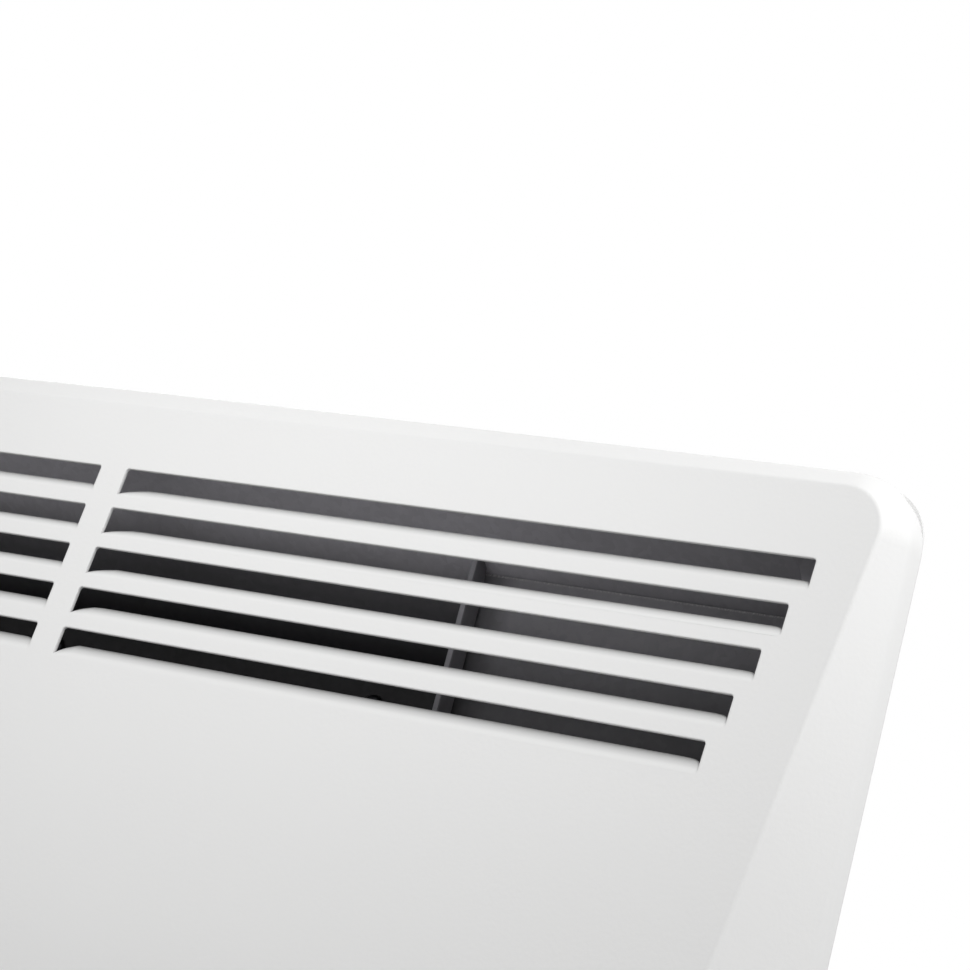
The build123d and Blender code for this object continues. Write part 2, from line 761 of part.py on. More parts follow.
def lid_side_seats():
    """Screw seats outside the chassis that hold the lid's bent edge."""
    y = lid_y + lid_return * 0.55
    return [(chassis_half_width, y, z) for z in
            (lid_return_low + lid_side_screw_inset, lid_return_high - lid_side_screw_inset)]


def control_chamber_lid():
    """Dark front plate of the control chamber."""
    left = partition_x + inner_sheet / 2 + seat_gap
    right = inner_half_width - seat_gap / 3
    z = (inner_bottom + partition_end_gap, lid_top)
    lid = block((left, right), (lid_y, lid_rear_y), z) & chamber_form(seat_gap / 3)
    lid += block((right - inner_sheet, right), (lid_y, lid_y + lid_return),
                 (lid_return_low, lid_return_high))
    holes = [screw_hole(seat, (0, 1, 0), inner_screw_length) for seat in lid_seats()]
    holes += [screw_hole(seat, (-1, 0, 0), inner_screw_length) for seat in lid_side_seats()]
    return lid - holes


def heat_reflector():
    """Bright sheet behind the element, held off the back panel by its bent edges."""
    x = (left_bracket_x + element_bracket_foot, right_bracket_x - element_bracket_foot)
    front = back_inner_y - reflector_stand_off
    sheet = block(x, (front, front + inner_sheet), (reflector_low, reflector_high))
    for edge in (reflector_low, reflector_high - inner_sheet):
        sheet += block(x, (back_inner_y, front), (edge, edge + inner_sheet))
    for seat in reflector_seats():
        half = screw_head_radius + 2
        sheet += block((seat[0] - half, seat[0] + half), (back_inner_y, seat[1]),
                       (seat[2] - half, seat[2] + half))
    holes = [screw_hole(seat, (0, 1, 0), inner_screw_length) for seat in reflector_seats()]
    return sheet - holes


def reflector_seats():
    """Screw seats on small tabs above the reflector."""
    z = reflector_high + screw_head_radius + 1.5
    return [(x, back_inner_y - inner_sheet, z) for x in
            (element_left + reflector_screw_inset, element_right - reflector_screw_inset)]


# ---- heating element
def heating_fins():
    """Extruded aluminium body: two hubs joined by a web, with fins to both sides."""
    plane = side_plane(element_left)
    length = element_right - element_left
    section = Pos(element_y, element_z) * Rectangle(fin_thickness * 1.5, 2 * fin_reach + rod_spacing)
    for z in rod_heights:
        section += Pos(element_y, z) * Circle(hub_radius)
    span = 2 * fin_reach + rod_spacing
    for index in range(fin_count + 1):
        height = element_z - span / 2 + index * span / fin_count
        section += Pos(element_y, height) * Rectangle(2 * fin_reach, fin_thickness)
    for z in rod_heights:
        section -= Pos(element_y, z) * Circle(rod_radius + rod_clearance)
    return extrude(plane * section, amount=length)


def heating_rod(z):
    """Sheathed heating rod with a terminal pin at each end."""
    rod = bar((rod_left, element_y, z), (1, 0, 0), rod_radius, rod_right - rod_left)
    rod += bar((rod_left, element_y, z), (-1, 0, 0), pin_radius, pin_length)
    return rod + bar((rod_right, element_y, z), (1, 0, 0), pin_radius, pin_length)


def rod_bushes(bracket_x, side):
    """Ceramic bushes that carry the rods' ends in a bracket."""
    bushes = []
    inner = rod_radius + rod_clearance
    for z in rod_heights:
        start = (bracket_x - side * bush_length / 2, element_y, z)
        bush = ring(start, (side, 0, 0), bush_radius, inner, bush_length)
        flange_x = bracket_x - side * (inner_sheet / 2 + bush_flange_length)
        bush += ring((flange_x, element_y, z), (side, 0, 0), bush_flange_radius, inner,
                     bush_flange_length)
        bushes.append(bush)
    return bushes


def element_bracket(bracket_x, side):
    """Upright plate with a screwed foot, holding one end of the element."""
    half = inner_sheet / 2
    margin = element_bracket_width / 2
    z = (element_z - rod_spacing / 2 - margin, element_z + rod_spacing / 2 + margin)
    plate = block((bracket_x - half, bracket_x + half), (back_inner_y, element_y - margin), z)
    foot_x = (bracket_x - side * half, bracket_x + side * element_bracket_foot)
    plate += block(foot_x, (back_inner_y, back_inner_y - inner_sheet), z)
    for height in rod_heights:
        plate -= bar((bracket_x - 1, element_y, height), (1, 0, 0), bush_radius + screw_clearance, 2)
    holes = [screw_hole(seat, (0, 1, 0), inner_screw_length) for seat in element_seats()]
    return plate - holes


def element_seats():
    """Screw seats on the feet of the element's brackets."""
    y = back_inner_y - inner_sheet
    seats = []
    for bracket_x, side in ((left_bracket_x, -1), (right_bracket_x, 1)):
        for z in (element_z - rod_spacing, element_z + rod_spacing):
            seats.append((bracket_x + side * element_bracket_foot / 2, y, z))
    return seats


def rod_link():
    """Metal strip joining the rods' left pins."""
    x = rod_left - pin_length
    half = 4.0
    z = (rod_heights[1] - half, rod_heights[0] + half)
    return block((x - 1, x), (element_y - half, element_y + half), z)


# ---- controls
def control_bezel():
    """Moulded control panel with a collar through the chassis's side."""
    half = bezel_width / 2
    middle_z = (bezel_low + bezel_high) / 2
    height = bezel_high - bezel_low
    outline = Pos(controls_y, middle_z) * RectangleRounded(bezel_width, height, bezel_corner_radius)
    plate = extrude(side_plane(chassis_half_width) * outline, amount=bezel_thickness)
    outer_edges = plate.edges().filter_by_position(Axis.X, bezel_outer_x - 0.01, bezel_outer_x + 0.01)
    plate = fillet(outer_edges, bezel_thickness / 3)
    collar_x = (chassis_half_width - bezel_collar_depth, chassis_half_width + 0.5)
    side_margin = bezel_side_margin + screw_clearance
    end_margin = bezel_end_margin + screw_clearance
    y = (controls_y - half + side_margin, controls_y + half - side_margin)
    z = (bezel_low + end_margin, bezel_high - end_margin)
    collar = block(collar_x, y, z)
    collar -= block(collar_x, (y[0] + bezel_wall, y[1] - bezel_wall),
                    (z[0] + bezel_wall, z[1] - bezel_wall))
    bezel = plate + collar
    bezel -= bar((thermostat_right, controls_y, knob_z), (1, 0, 0),
                 thermostat_neck_radius + screw_clearance, 20)
    bezel -= bar((thermostat_right, controls_y, indicator_z), (1, 0, 0),
                 indicator_radius + screw_clearance, 20)
    for y_middle in rocker_ys.values():
        width = switch_body_width / 2 + screw_clearance
        height = switch_body_height / 2 + screw_clearance
        bezel -= block((thermostat_left, bezel_outer_x + 1), (y_middle - width, y_middle + width),
                       (rocker_z - height, rocker_z + height))
    thermostat_room = thermostat_size / 2 + seat_gap
    bezel -= block((chassis_half_width - bezel_collar_depth - 1, chassis_half_width),
                   (controls_y - thermostat_room, controls_y + thermostat_room),
                   (knob_z - thermostat_room, knob_z + thermostat_room))
    return bezel - [screw_hole(seat, (-1, 0, 0), bezel_screw_length) for seat in bezel_seats()]


def bezel_seats():
    """Screw seats on the bezel's outer face, in its top and bottom margins."""
    margin = bezel_end_margin / 2
    return [(bezel_outer_x, controls_y, z) for z in (bezel_low + margin, bezel_high - margin)]


def thermostat_body():
    """Capillary thermostat with a neck that carries the shaft, and three tabs."""
    half = thermostat_size / 2
    body = block((thermostat_left, thermostat_right), (controls_y - half, controls_y + half),
                 (knob_z - half, knob_z + half))
    body = fillet(body.edges().filter_by(Axis.X), 2.0)
    neck_length = bezel_outer_x - thermostat_right
    body += bar((thermostat_right, controls_y, knob_z), (1, 0, 0), thermostat_neck_radius, neck_length)
    body -= bar((bezel_outer_x + 1, controls_y, knob_z), (-1, 0, 0), shaft_radius + shaft_clearance,
                shaft_depth + 1 + seat_gap)
    for y, z in thermostat_tabs():
        body += tab(thermostat_left, y, z)
    return body


def thermostat_tabs():
    """Places of the thermostat's tabs: supply, and one for each heat setting."""
    shift = thermostat_size / 4
    return [(controls_y, knob_z + shift), (controls_y - shift, knob_z - shift),
            (controls_y + shift, knob_z - shift)]


def tab(x, y, z):
    """Blade terminal pointing left from a component's back."""
    return block((x - tab_length, x + 1), (y - tab_width / 2, y + tab_width / 2),
                 (z - tab_thickness / 2, z + tab_thickness / 2))


def thermostat_shaft():
    """Round shaft with a flat, turned by the knob."""
    start = (bezel_outer_x - shaft_depth, controls_y, knob_z)
    length = shaft_depth + knob_gap + knob_height - knob_wall
    shaft = bar(start, (1, 0, 0), shaft_radius, length)
    flat = block((bezel_outer_x + knob_gap + 1, bezel_outer_x + 40),
                 (controls_y - shaft_radius, controls_y + shaft_radius),
                 (knob_z + shaft_radius * 0.6, knob_z + shaft_radius * 2))
    return shaft - flat


def thermostat_knob():
    """Hollow ribbed knob pressed on the shaft, with a raised pointer."""
    base = bezel_outer_x + knob_gap
    shell = bar((base, controls_y, knob_z), (1, 0, 0), knob_radius, knob_height)
    front = shell.edges().filter_by_position(Axis.X, base + knob_height - 0.01, base + knob_height + 0.01)
    shell = fillet(front, 1.5)
    for index in range(knob_rib_count):
        angle = 2 * pi * index / knob_rib_count
        place = (base + 1, controls_y + knob_radius * cos(angle), knob_z + knob_radius * sin(angle))
        shell += bar(place, (1, 0, 0), knob_rib_radius, knob_height - 4)
    shell -= bar((base, controls_y, knob_z), (1, 0, 0), knob_radius - knob_wall, knob_height - knob_wall)
    boss = bar((base + 0.5, controls_y, knob_z), (1, 0, 0), shaft_radius + knob_wall, knob_height - 1)
    knob = shell + boss - thermostat_shaft()
    pointer_x = (base + knob_height, base + knob_height + 0.8)
    pointer = block(pointer_x, (controls_y - 1, controls_y + 1), (knob_z + 4, knob_z + knob_radius - 2.5))
    return knob + pointer


def switch_body(y):
    """Snap-in switch body with a frame round the rocker and two tabs."""
    half_w = switch_body_width / 2
    half_h = switch_body_height / 2
    body = block((switch_back_x, bezel_outer_x + 0.5), (y - half_w, y + half_w),
                 (rocker_z - half_h, rocker_z + half_h))
    flange_w = switch_flange_width / 2
    flange_h = switch_flange_height / 2
    flange = block((bezel_outer_x, bezel_outer_x + switch_flange_thickness),
                   (y - flange_w, y + flange_w), (rocker_z - flange_h, rocker_z + flange_h))
    outer = bezel_outer_x + switch_flange_thickness
    flange = fillet(flange.edges().filter_by_position(Axis.X, outer - 0.01, outer + 0.01), 0.6)
    body += flange
    room = rocker_swing_radius + rocker_swing_clearance
    side = rocker_width / 2 + rocker_swing_clearance
    body -= block((rocker_pivot_x - room, outer + 1), (y - side, y + side),
                  (rocker_z - room, rocker_z + room))
    pin_reach = side + rocker_pin_length
    body -= bar((rocker_pivot_x, y - pin_reach, rocker_z), (0, 1, 0),
                rocker_pin_radius + pivot_clearance, 2 * pin_reach)
    for offset_z in (tab_half_pitch, -tab_half_pitch):
        body += tab(switch_back_x, y, rocker_z + offset_z)
    return body


def switch_rocker(y):
    """Two-position rocker, shown switched off with its upper end out."""
    half = rocker_width / 2
    plane = Plane(origin=(rocker_pivot_x, y + half, rocker_z), x_dir=(1, 0, 0), z_dir=(0, -1, 0))
    radius = rocker_swing_radius
    crest = rocker_crest
    dip = crest - radius * tan(radians(rocker_tilt))
    outline = Polyline((-radius, -radius), (crest, -radius), (dip, 0), (crest, radius), (-radius, radius),
                       close=True)
    section = make_face(outline) & Circle(radius + 0.1)
    section -= Pos(-radius / 2 - 2, 0) * Rectangle(radius, 3 * radius)
    rocker = extrude(plane * section, amount=rocker_width)
    rocker += bar((rocker_pivot_x, y - half - rocker_pin_length + 0.1, rocker_z), (0, 1, 0),
                  rocker_pin_radius, rocker_width + 2 * rocker_pin_length - 0.2)
    return rocker.rotate(Axis((rocker_pivot_x, y, rocker_z), (0, 1, 0)), rocker_tilt)


def indicator_lens():
    """Clear amber lens in the control panel."""
    lens = bar((chassis_half_width, controls_y, indicator_z), (1, 0, 0), indicator_radius,
               bezel_thickness + 1.2)
    tip = bezel_outer_x + 1.2
    return fillet(lens.edges().filter_by_position(Axis.X, tip - 0.01, tip + 0.01), 1.0)


def indicator_lamp():
    """Neon lamp behind the lens."""
    return bar((chassis_half_width, controls_y, indicator_z), (-1, 0, 0), indicator_radius - 0.4, 12.0)


# ---- wiring, sensing bulb and cord inlet
def capillary_route():
    """Route from the thermostat down to the sensing bulb."""
    x_start = thermostat_left + 4
    lane = thermostat_left - 12
    z_start = knob_z - thermostat_size / 2
    end_x = lane - 14
    return [(x_start, capillary_y, z_start), (x_start, capillary_y, z_start - 7),
            (lane, capillary_y, z_start - 15), (lane, capillary_y, bulb_z + 14),
            (lane - 6, capillary_y + 4, bulb_z), (end_x, capillary_y + 4, bulb_z)]


def thermostat_capillary():
    """Thin copper tube ending in the sensing bulb near the air inlet."""
    route = capillary_route()
    tube = lead("capillary", route, capillary_radius, capillary_bend_limit)
    return tube + bar(route[-1], (-1, 0, 0), bulb_radius, bulb_length)


def bulb_clips():
    """Saddles that hold the bulb on the chassis's bottom."""
    end = capillary_route()[-1]
    clips = []
    for share in (0.2, 0.8):
        x = end[0] - bulb_length * share
        half = bulb_radius + 1.5
        clip = block((x - 3, x + 3), (end[1] - half, end[1] + half), (inner_bottom, bulb_z + half))
        clips.append(clip - bar((x - 4, end[1], bulb_z), (1, 0, 0), bulb_radius + 0.1, 8))
    return clips


def terminal_places():
    """X places of the supply, neutral and earth terminals."""
    return [terminal_block_x + index * terminal_pitch for index in (-1, 0, 1)]


def terminal_block():
    """Three-way block with a lead well over each way and a screw access hole."""
    half_x = terminal_block_size_x / 2
    half_z = terminal_block_size_z / 2
    y = (back_inner_y, back_inner_y - terminal_block_depth)
    body = block((terminal_block_x - half_x, terminal_block_x + half_x), y,
                 (terminal_block_z - half_z, terminal_block_z + half_z))
    for x in terminal_places():
        for side in (1, -1):
            start = (x, lead_y, terminal_block_z + side * (half_z + 1))
            body -= bar(start, (0, 0, -side), lead_radius + 0.3, 7.0)
        body -= bar((x, y[1] - 1, terminal_block_z), (0, 1, 0), screw_radius + 0.3, 7.0)
    for side in (1, -1):
        groove = side * terminal_pitch / 2
        body -= block((terminal_block_x + groove - 0.6, terminal_block_x + groove + 0.6),
                      (y[1] - 1, y[1] + 4), (terminal_block_z - half_z - 1, terminal_block_z + half_z + 1))
    return body


def terminal_screws():
    """Clamping screws in the terminal block."""
    front = back_inner_y - terminal_block_depth
    depth = 6.0
    return [bar((x, front + 1, terminal_block_z), (0, 1, 0), screw_radius, depth - 1)
            for x in terminal_places()]


def cord_gland():
    """Moulded inlet bush for the supply cord, headed below the chassis."""
    head_z = chassis_bottom - gland_head_height
    gland = bar((gland_x, controls_y, head_z), (0, 0, 1), gland_head_radius, gland_head_height)
    gland = fillet(gland.edges().filter_by_position(Axis.Z, head_z - 0.01, head_z + 0.01), 2.0)
    gland += bar((gland_x, controls_y, chassis_bottom), (0, 0, 1), gland_body_radius, gland_thread_length)
    bore_length = gland_head_height + gland_thread_length + 2
    return gland - bar((gland_x, controls_y, head_z - 1), (0, 0, 1), gland_bore_radius, bore_length)


def gland_nut():
    """Nut that clamps the gland from inside the chassis."""
    plane = Plane(origin=(gland_x, controls_y, inner_bottom), z_dir=(0, 0, 1))
    hexagon = RegularPolygon(gland_head_radius, 6) - Circle(gland_body_radius + thread_clearance)
    return extrude(plane * hexagon, amount=gland_nut_height)


def lead_grommet():
    """Bush that protects the leads where they cross the partition."""
    half = inner_sheet / 2 + 0.1
    start = (partition_x - half - 1.5, grommet_y, grommet_z)
    grommet = ring(start, (1, 0, 0), grommet_bore_radius + grommet_wall - 0.1, grommet_bore_radius,
                   2 * half + 3)
    for x in (partition_x - half - 1.5, partition_x + half):
        grommet += ring((x, grommet_y, grommet_z), (1, 0, 0), grommet_flange_radius,
                        grommet_bore_radius, 1.5)
    return grommet


def cutout_seat():
    """Screw seat of the thermal cut-out's bracket on the back panel."""
    return (cutout_x, back_inner_y - inner_sheet, cutout_z - 18)


def cutout_bracket():
    """Small bent bracket that holds the thermal cut-out off the back panel."""
    x = (cutout_x - 9, cutout_x + 9)
    rear_y = cutout_y + cutout_height / 2
    bracket = block(x, (back_inner_y, back_inner_y - inner_sheet), (cutout_z - 24, cutout_z - 11))
    bracket += block(x, (back_inner_y, rear_y), (cutout_z - 11 - inner_sheet, cutout_z - 11))
    bracket += block(x, (rear_y + inner_sheet, rear_y), (cutout_z - 11 - inner_sheet, cutout_z + 10))
    return bracket - screw_hole(cutout_seat(), (0, 1, 0), inner_screw_length)


def thermal_cutout():
    """Disc cut-out with a tab to each side."""
    rear_y = cutout_y + cutout_height / 2
    disc = bar((cutout_x, rear_y, cutout_z), (0, -1, 0), cutout_radius, cutout_height)
    half = tab_width / 2
    for side in (1, -1):
        inner = cutout_x + side * (cutout_radius - 2)
        outer = cutout_x + side * (cutout_radius + tab_length - 2)
        disc += block((inner, outer), (cutout_y - tab_thickness / 2, cutout_y + tab_thickness / 2),
                      (cutout_z - half, cutout_z + half))
    return disc


def earth_stud():
    """Threaded stud on the back panel with the earth lead's ring under its nut."""
    stud = bar((earth_x, back_inner_y, earth_z), (0, -1, 0), 2.0, 11.0)
    tag = ring((earth_x, back_inner_y, earth_z), (0, -1, 0), 5.0, 1.9, 1.0)
    tag += block((earth_x - 1.5, earth_x + 1.5), (back_inner_y, back_inner_y - 1.0),
                 (earth_z + 4, earth_z + 10))
    barrel = bar((earth_x, back_inner_y - lead_radius - 0.6, earth_z + 7), (0, 0, 1),
                 lead_radius + 0.6, 5.0)
    plane = Plane(origin=(earth_x, back_inner_y - 1.0, earth_z), z_dir=(0, -1, 0))
    nut = extrude(plane * RegularPolygon(4.0, 6), amount=3.0)
    return stud + tag + barrel + nut


def lead_routes():
    """Route of each internal lead, from one terminal to the other."""
    supply_x, neutral_x, earth_lead_x = terminal_places()
    (in_y, in_z), (low_y, low_z), (high_y, high_z) = thermostat_tabs()
    tabs_x = thermostat_left - tab_length
    switch_x = switch_back_x - tab_length
    well = terminal_block_top - 3
    lane_x = tabs_x - 10
    top_rod, bottom_rod = rod_heights
    pins_x = rod_right + pin_length
    low_y_hole = grommet_y - 3
    high_y_hole = grommet_y + 3
    hole_z = grommet_z + 2
    neutral_z = grommet_z - 3.5
    rocker_top = rocker_z + tab_half_pitch
    rocker_bottom = rocker_z - tab_half_pitch
    low = rocker_ys["low"]
    high = rocker_ys["high"]
    near_partition = partition_x + 22
    link_x = rod_left - pin_length - 0.5
    tab_reach = cutout_radius + tab_length - 2
    back_lane = back_inner_y - 7
    corner_x = pins_x + 4
    return {
        "supply_lead": [(supply_x, lead_y, well), (supply_x, lead_y, in_z - 14),
                        (supply_x + 14, in_y, in_z), (tabs_x, in_y, in_z)],
        "low_heat_switch_lead": [(tabs_x, low_y, low_z), (lane_x, low_y, low_z),
                                 (lane_x, low, rocker_top), (switch_x, low, rocker_top)],
        "high_heat_switch_lead": [(tabs_x, high_y, high_z), (lane_x, high_y, high_z),
                                  (lane_x, high, rocker_top), (switch_x, high, rocker_top)],
        "low_heat_element_lead": [(pins_x, element_y, top_rod), (pins_x + 11, element_y, top_rod),
                                  (pins_x + 11, low_y_hole, hole_z),
                                  (near_partition, low_y_hole, hole_z),
                                  (switch_x - 18, low, rocker_bottom), (switch_x, low, rocker_bottom)],
        "high_heat_element_lead": [(pins_x, element_y, bottom_rod), (pins_x + 7, element_y, bottom_rod),
                                   (pins_x + 7, high_y_hole, hole_z),
                                   (near_partition, high_y_hole, hole_z),
                                   (switch_x - 18, high, rocker_bottom), (switch_x, high, rocker_bottom)],
        "cutout_lead": [(link_x, element_y, top_rod + 4), (link_x, element_y, cutout_z - 20),
                        (link_x + 14, cutout_y, cutout_z), (cutout_x - tab_reach, cutout_y, cutout_z)],
        "neutral_lead": [(cutout_x + tab_reach, cutout_y, cutout_z),
                         (cutout_x + tab_reach + 5, cutout_y, cutout_z),
                         (cutout_x + tab_reach + 17, back_lane, cutout_z),
                         (corner_x, back_lane, cutout_z), (corner_x, back_lane, neutral_z),
                         (corner_x + 8, grommet_y, neutral_z), (neutral_x - 16, grommet_y, neutral_z),
                         (neutral_x, lead_y, neutral_z - 6), (neutral_x, lead_y, well)],
        "earth_lead": [(earth_lead_x, lead_y, well), (earth_lead_x, lead_y, well + 18),
                       (earth_x, back_inner_y - lead_radius - 0.6, earth_z + 24),
                       (earth_x, back_inner_y - lead_radius - 0.6, earth_z + 12)],
    }


def lead_clips():
    """Nylon saddles on the back panel that hold the neutral lead."""
    lane = lead_routes()["neutral_lead"][3]
    clips = []
    for x in (-lead_clip_spacing, 0, right_bracket_x - 3):
        clip = block((x - 4, x + 4), (back_inner_y, lane[1] - lead_radius - 1.5),
                     (cutout_z - 4, cutout_z + 4))
        clips.append(clip - bar((x - 5, lane[1], cutout_z), (1, 0, 0), lead_radius + 0.1, 10))
    return clips


# ---- the whole heater
def all_parts():
    """Every node of the heater, by name."""
    inward = (0, 1, 0)
    parts = {
        "wall_bracket": wall_bracket(),
        "latch_rivets": latch_rivets(),
        "bracket_latch_left": bracket_latch(-1),
        "bracket_latch_right": bracket_latch(1),
        "rear_buffers": rear_buffers(),
        "front_cover": front_cover(),
        "rear_chassis": rear_chassis(),
        "cover_screws": [screw(s, (0, -1, 0), cover_screw_length) for s in cover_screw_seats()],
        "air_deflector": air_deflector(),
        "deflector_screws": [screw(s, inward, inner_screw_length) for s in deflector_seats()],
        "partition_wall": partition_wall(),
        "partition_screws": [screw(s, inward, inner_screw_length) for s in partition_seats()],
        "control_chamber_lid": control_chamber_lid(),
        "lid_screws": [screw(s, inward, inner_screw_length) for s in lid_seats()],
        "lid_side_screws": [screw(s, (-1, 0, 0), inner_screw_length) for s in lid_side_seats()],
        "heat_reflector": heat_reflector(),
        "reflector_screws": [screw(s, inward, inner_screw_length) for s in reflector_seats()],
        "heating_fins": heating_fins(),
        "heating_rod_upper": heating_rod(rod_heights[0]),
        "heating_rod_lower": heating_rod(rod_heights[1]),
        "rod_bushes_left": rod_bushes(left_bracket_x, -1),
        "rod_bushes_right": rod_bushes(right_bracket_x, 1),
        "element_bracket_left": element_bracket(left_bracket_x, -1),
        "element_bracket_right": element_bracket(right_bracket_x, 1),
        "element_screws": [screw(s, inward, inner_screw_length) for s in element_seats()],
        "rod_link": rod_link(),
        "thermal_cutout": thermal_cutout(),
        "cutout_bracket": cutout_bracket(),
        "cutout_screw": screw(cutout_seat(), inward, inner_screw_length),
        "control_bezel": control_bezel(),
        "bezel_screws": [screw(s, (-1, 0, 0), bezel_screw_length) for s in bezel_seats()],
        "thermostat_body": thermostat_body(),
        "thermostat_capillary": thermostat_capillary(),
        "bulb_clips": bulb_clips(),
        "thermostat_shaft": thermostat_shaft(),
        "thermostat_knob": thermostat_knob(),
        "indicator_lens": indicator_lens(),
        "indicator_lamp": indicator_lamp(),
        "terminal_block": terminal_block(),
        "terminal_screws": terminal_screws(),
        "cord_gland": cord_gland(),
        "gland_nut": gland_nut(),
        "lead_grommet": lead_grommet(),
        "lead_clips": lead_clips(),
        "earth_stud": earth_stud(),
    }
    for name, y in rocker_ys.items():
        parts["switch_body_" + name] = switch_body(y)
        parts["switch_rocker_" + name] = switch_rocker(y)
    for name, route in lead_routes().items():
        limit = tight_bend_limit if "element" in name else lead_bend_limit
        parts[name] = lead(name, route, lead_radius, limit)
    return parts


os.makedirs("parts", exist_ok=True)
for name, shape in all_parts().items():
    solids = shape if isinstance(shape, list) else [shape]
    bodies = [solid for piece in solids for solid in piece.solids()]
    export_step(Compound(children=bodies) if len(bodies) > 1 else bodies[0], "parts/" + name + ".step")
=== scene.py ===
import json
import math
from contextlib import contextmanager

import bmesh
import bpy
from bpy.props import FloatProperty, FloatVectorProperty, IntProperty, PointerProperty
from mathutils import Matrix, Vector
from mathutils.bvhtree import BVHTree


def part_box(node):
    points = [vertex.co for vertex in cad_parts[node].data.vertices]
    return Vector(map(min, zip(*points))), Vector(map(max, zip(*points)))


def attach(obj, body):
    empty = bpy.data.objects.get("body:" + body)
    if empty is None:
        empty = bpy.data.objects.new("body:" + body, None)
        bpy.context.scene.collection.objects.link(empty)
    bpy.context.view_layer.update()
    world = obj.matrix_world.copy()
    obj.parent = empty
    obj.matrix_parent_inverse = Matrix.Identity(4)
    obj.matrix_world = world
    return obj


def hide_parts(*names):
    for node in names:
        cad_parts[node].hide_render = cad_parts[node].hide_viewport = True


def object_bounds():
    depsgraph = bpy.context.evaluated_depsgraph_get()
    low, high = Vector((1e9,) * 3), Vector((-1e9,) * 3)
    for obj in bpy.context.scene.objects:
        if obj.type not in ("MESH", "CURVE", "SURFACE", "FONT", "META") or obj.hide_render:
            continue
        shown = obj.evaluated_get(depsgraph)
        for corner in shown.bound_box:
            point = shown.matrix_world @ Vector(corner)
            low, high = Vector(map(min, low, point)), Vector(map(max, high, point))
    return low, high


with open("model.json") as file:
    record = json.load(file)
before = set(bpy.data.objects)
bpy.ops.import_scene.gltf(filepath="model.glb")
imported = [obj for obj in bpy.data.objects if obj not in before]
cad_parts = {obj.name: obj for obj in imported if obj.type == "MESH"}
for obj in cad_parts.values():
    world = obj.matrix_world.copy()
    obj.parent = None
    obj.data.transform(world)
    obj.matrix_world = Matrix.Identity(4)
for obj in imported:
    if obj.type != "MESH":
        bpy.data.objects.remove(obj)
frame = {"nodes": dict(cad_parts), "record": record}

bl_info = {
    "name": "Wall panel heater",
    "version": (1, 0, 0),
    "blender": (4, 5, 0),
    "location": "3D View > Sidebar > Heater",
    "description": "Dresses the packed wall heater with materials and fine detail",
    "category": "Object",
}

CAD_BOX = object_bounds()
NODES = frame["nodes"]
BODY_OF = {node: body for body, nodes in frame["record"]["behaviour"]["bodies"].items()
           for node in nodes}
SLOT_OF = {part["node"]: part["material_slot"] for part in frame["record"]["subparts"]}

RIGHTWARD, BACKWARD, UPWARD = (1.0, 0.0, 0.0), (0.0, 1.0, 0.0), (0.0, 0.0, 1.0)
FORWARD, LEFTWARD = (0.0, -1.0, 0.0), (-1.0, 0.0, 0.0)
WHITE, BLACK = (1.0, 1.0, 1.0), (0.0, 0.0, 0.0)
# How near two places count as the same, for cuts and for joined corners
CUT_NEARNESS, CORNER_NEARNESS = 1e-7, 2e-6

# The grille's plane: its direction down the face and into the heater, and the first slot's edge
FACE_LEAN = math.radians(7.0)
FACE_DOWN = Vector((0.0, -math.sin(FACE_LEAN), -math.cos(FACE_LEAN)))
FACE_INWARD = Vector((0.0, math.cos(FACE_LEAN), -math.sin(FACE_LEAN)))
GRILLE_TOP = Vector((0.0, -0.090947, 0.176))
FACE_LEVEL = GRILLE_TOP.dot(FACE_INWARD)
SLOT_PITCH, SLOT_OPENING, FIRST_SLOT_X = 0.012, 0.0074, 0.0046
SLOT_LENGTH, ROW_TAPER = 0.2089, 0.0034

# The rolled lips: how far they reach up and in, their height in each row as a share of the
# solid's, the length of the rise at their left end, and where that rise is cut into faces
LIP_HEIGHT, LIP_REACH, LIP_DEPTH, LIP_DROP = 0.0033, 0.0032, 0.003, 0.001
LIP_SHARES = (0.83, 0.77, 0.83, 1.05, 1.21)
LIP_RISES = (0.010, 0.010, 0.009, 0.007, 0.006)
LIP_RISE_POWER, LIP_RISE_START = 0.45, 0.0003
LIP_CUTS = (0.0008, 0.0016, 0.0026, 0.004, 0.006, 0.009, 0.013)
ROWS = range(len(LIP_SHARES))

# The crown of the cover's top wall: its rise in the middle and its fall towards the sides
TOP_WALL, CROWN_RISE, CROWN_FALL, CROWN_POWER = 0.196, 0.00138, 0.00085, 1.4
CROWN_HALF, CROWN_STEP = 0.215, 0.03

# The partition's rib: where it starts, its right side and top, and its shift to the right
RIB_ROOT, RIB_SIDE, RIB_TOP, RIB_SHIFT = -0.060, 0.106, 0.168, 0.0009
RIB_CUTS = ((BACKWARD, -0.0601), (BACKWARD, -0.0608), (UPWARD, 0.160), (UPWARD, 0.165),
            (UPWARD, 0.1695))
# Its right side stands out by the flare at the root and by the hem at the front edge; the
# flare shrinks with the height above its level, by its slope and at most over its span
RIB_HEM, RIB_FLARE, FLARE_LEVEL, FLARE_SPAN, FLARE_SLOPE = 0.0007, 0.0014, 0.160, 0.010, 0.1
# Where the bend ahead of the root begins and ends, and over what depth flare turns to hem
RIB_CORNER, RIB_BEND, RIB_DEPTH = 0.0007, 0.0008, 0.0057
# What its top is raised by, at the root and for each metre ahead of it
RIB_LIFT, RIB_RISE = 0.0006, 0.42

# The room inside the chassis that its inner faces look into
ROOM_HALF, ROOM_BOTTOM, ROOM_TOP, ROOM_FRONT, ROOM_BACK = 0.190, -0.160, 0.170, 0.002, 0.008

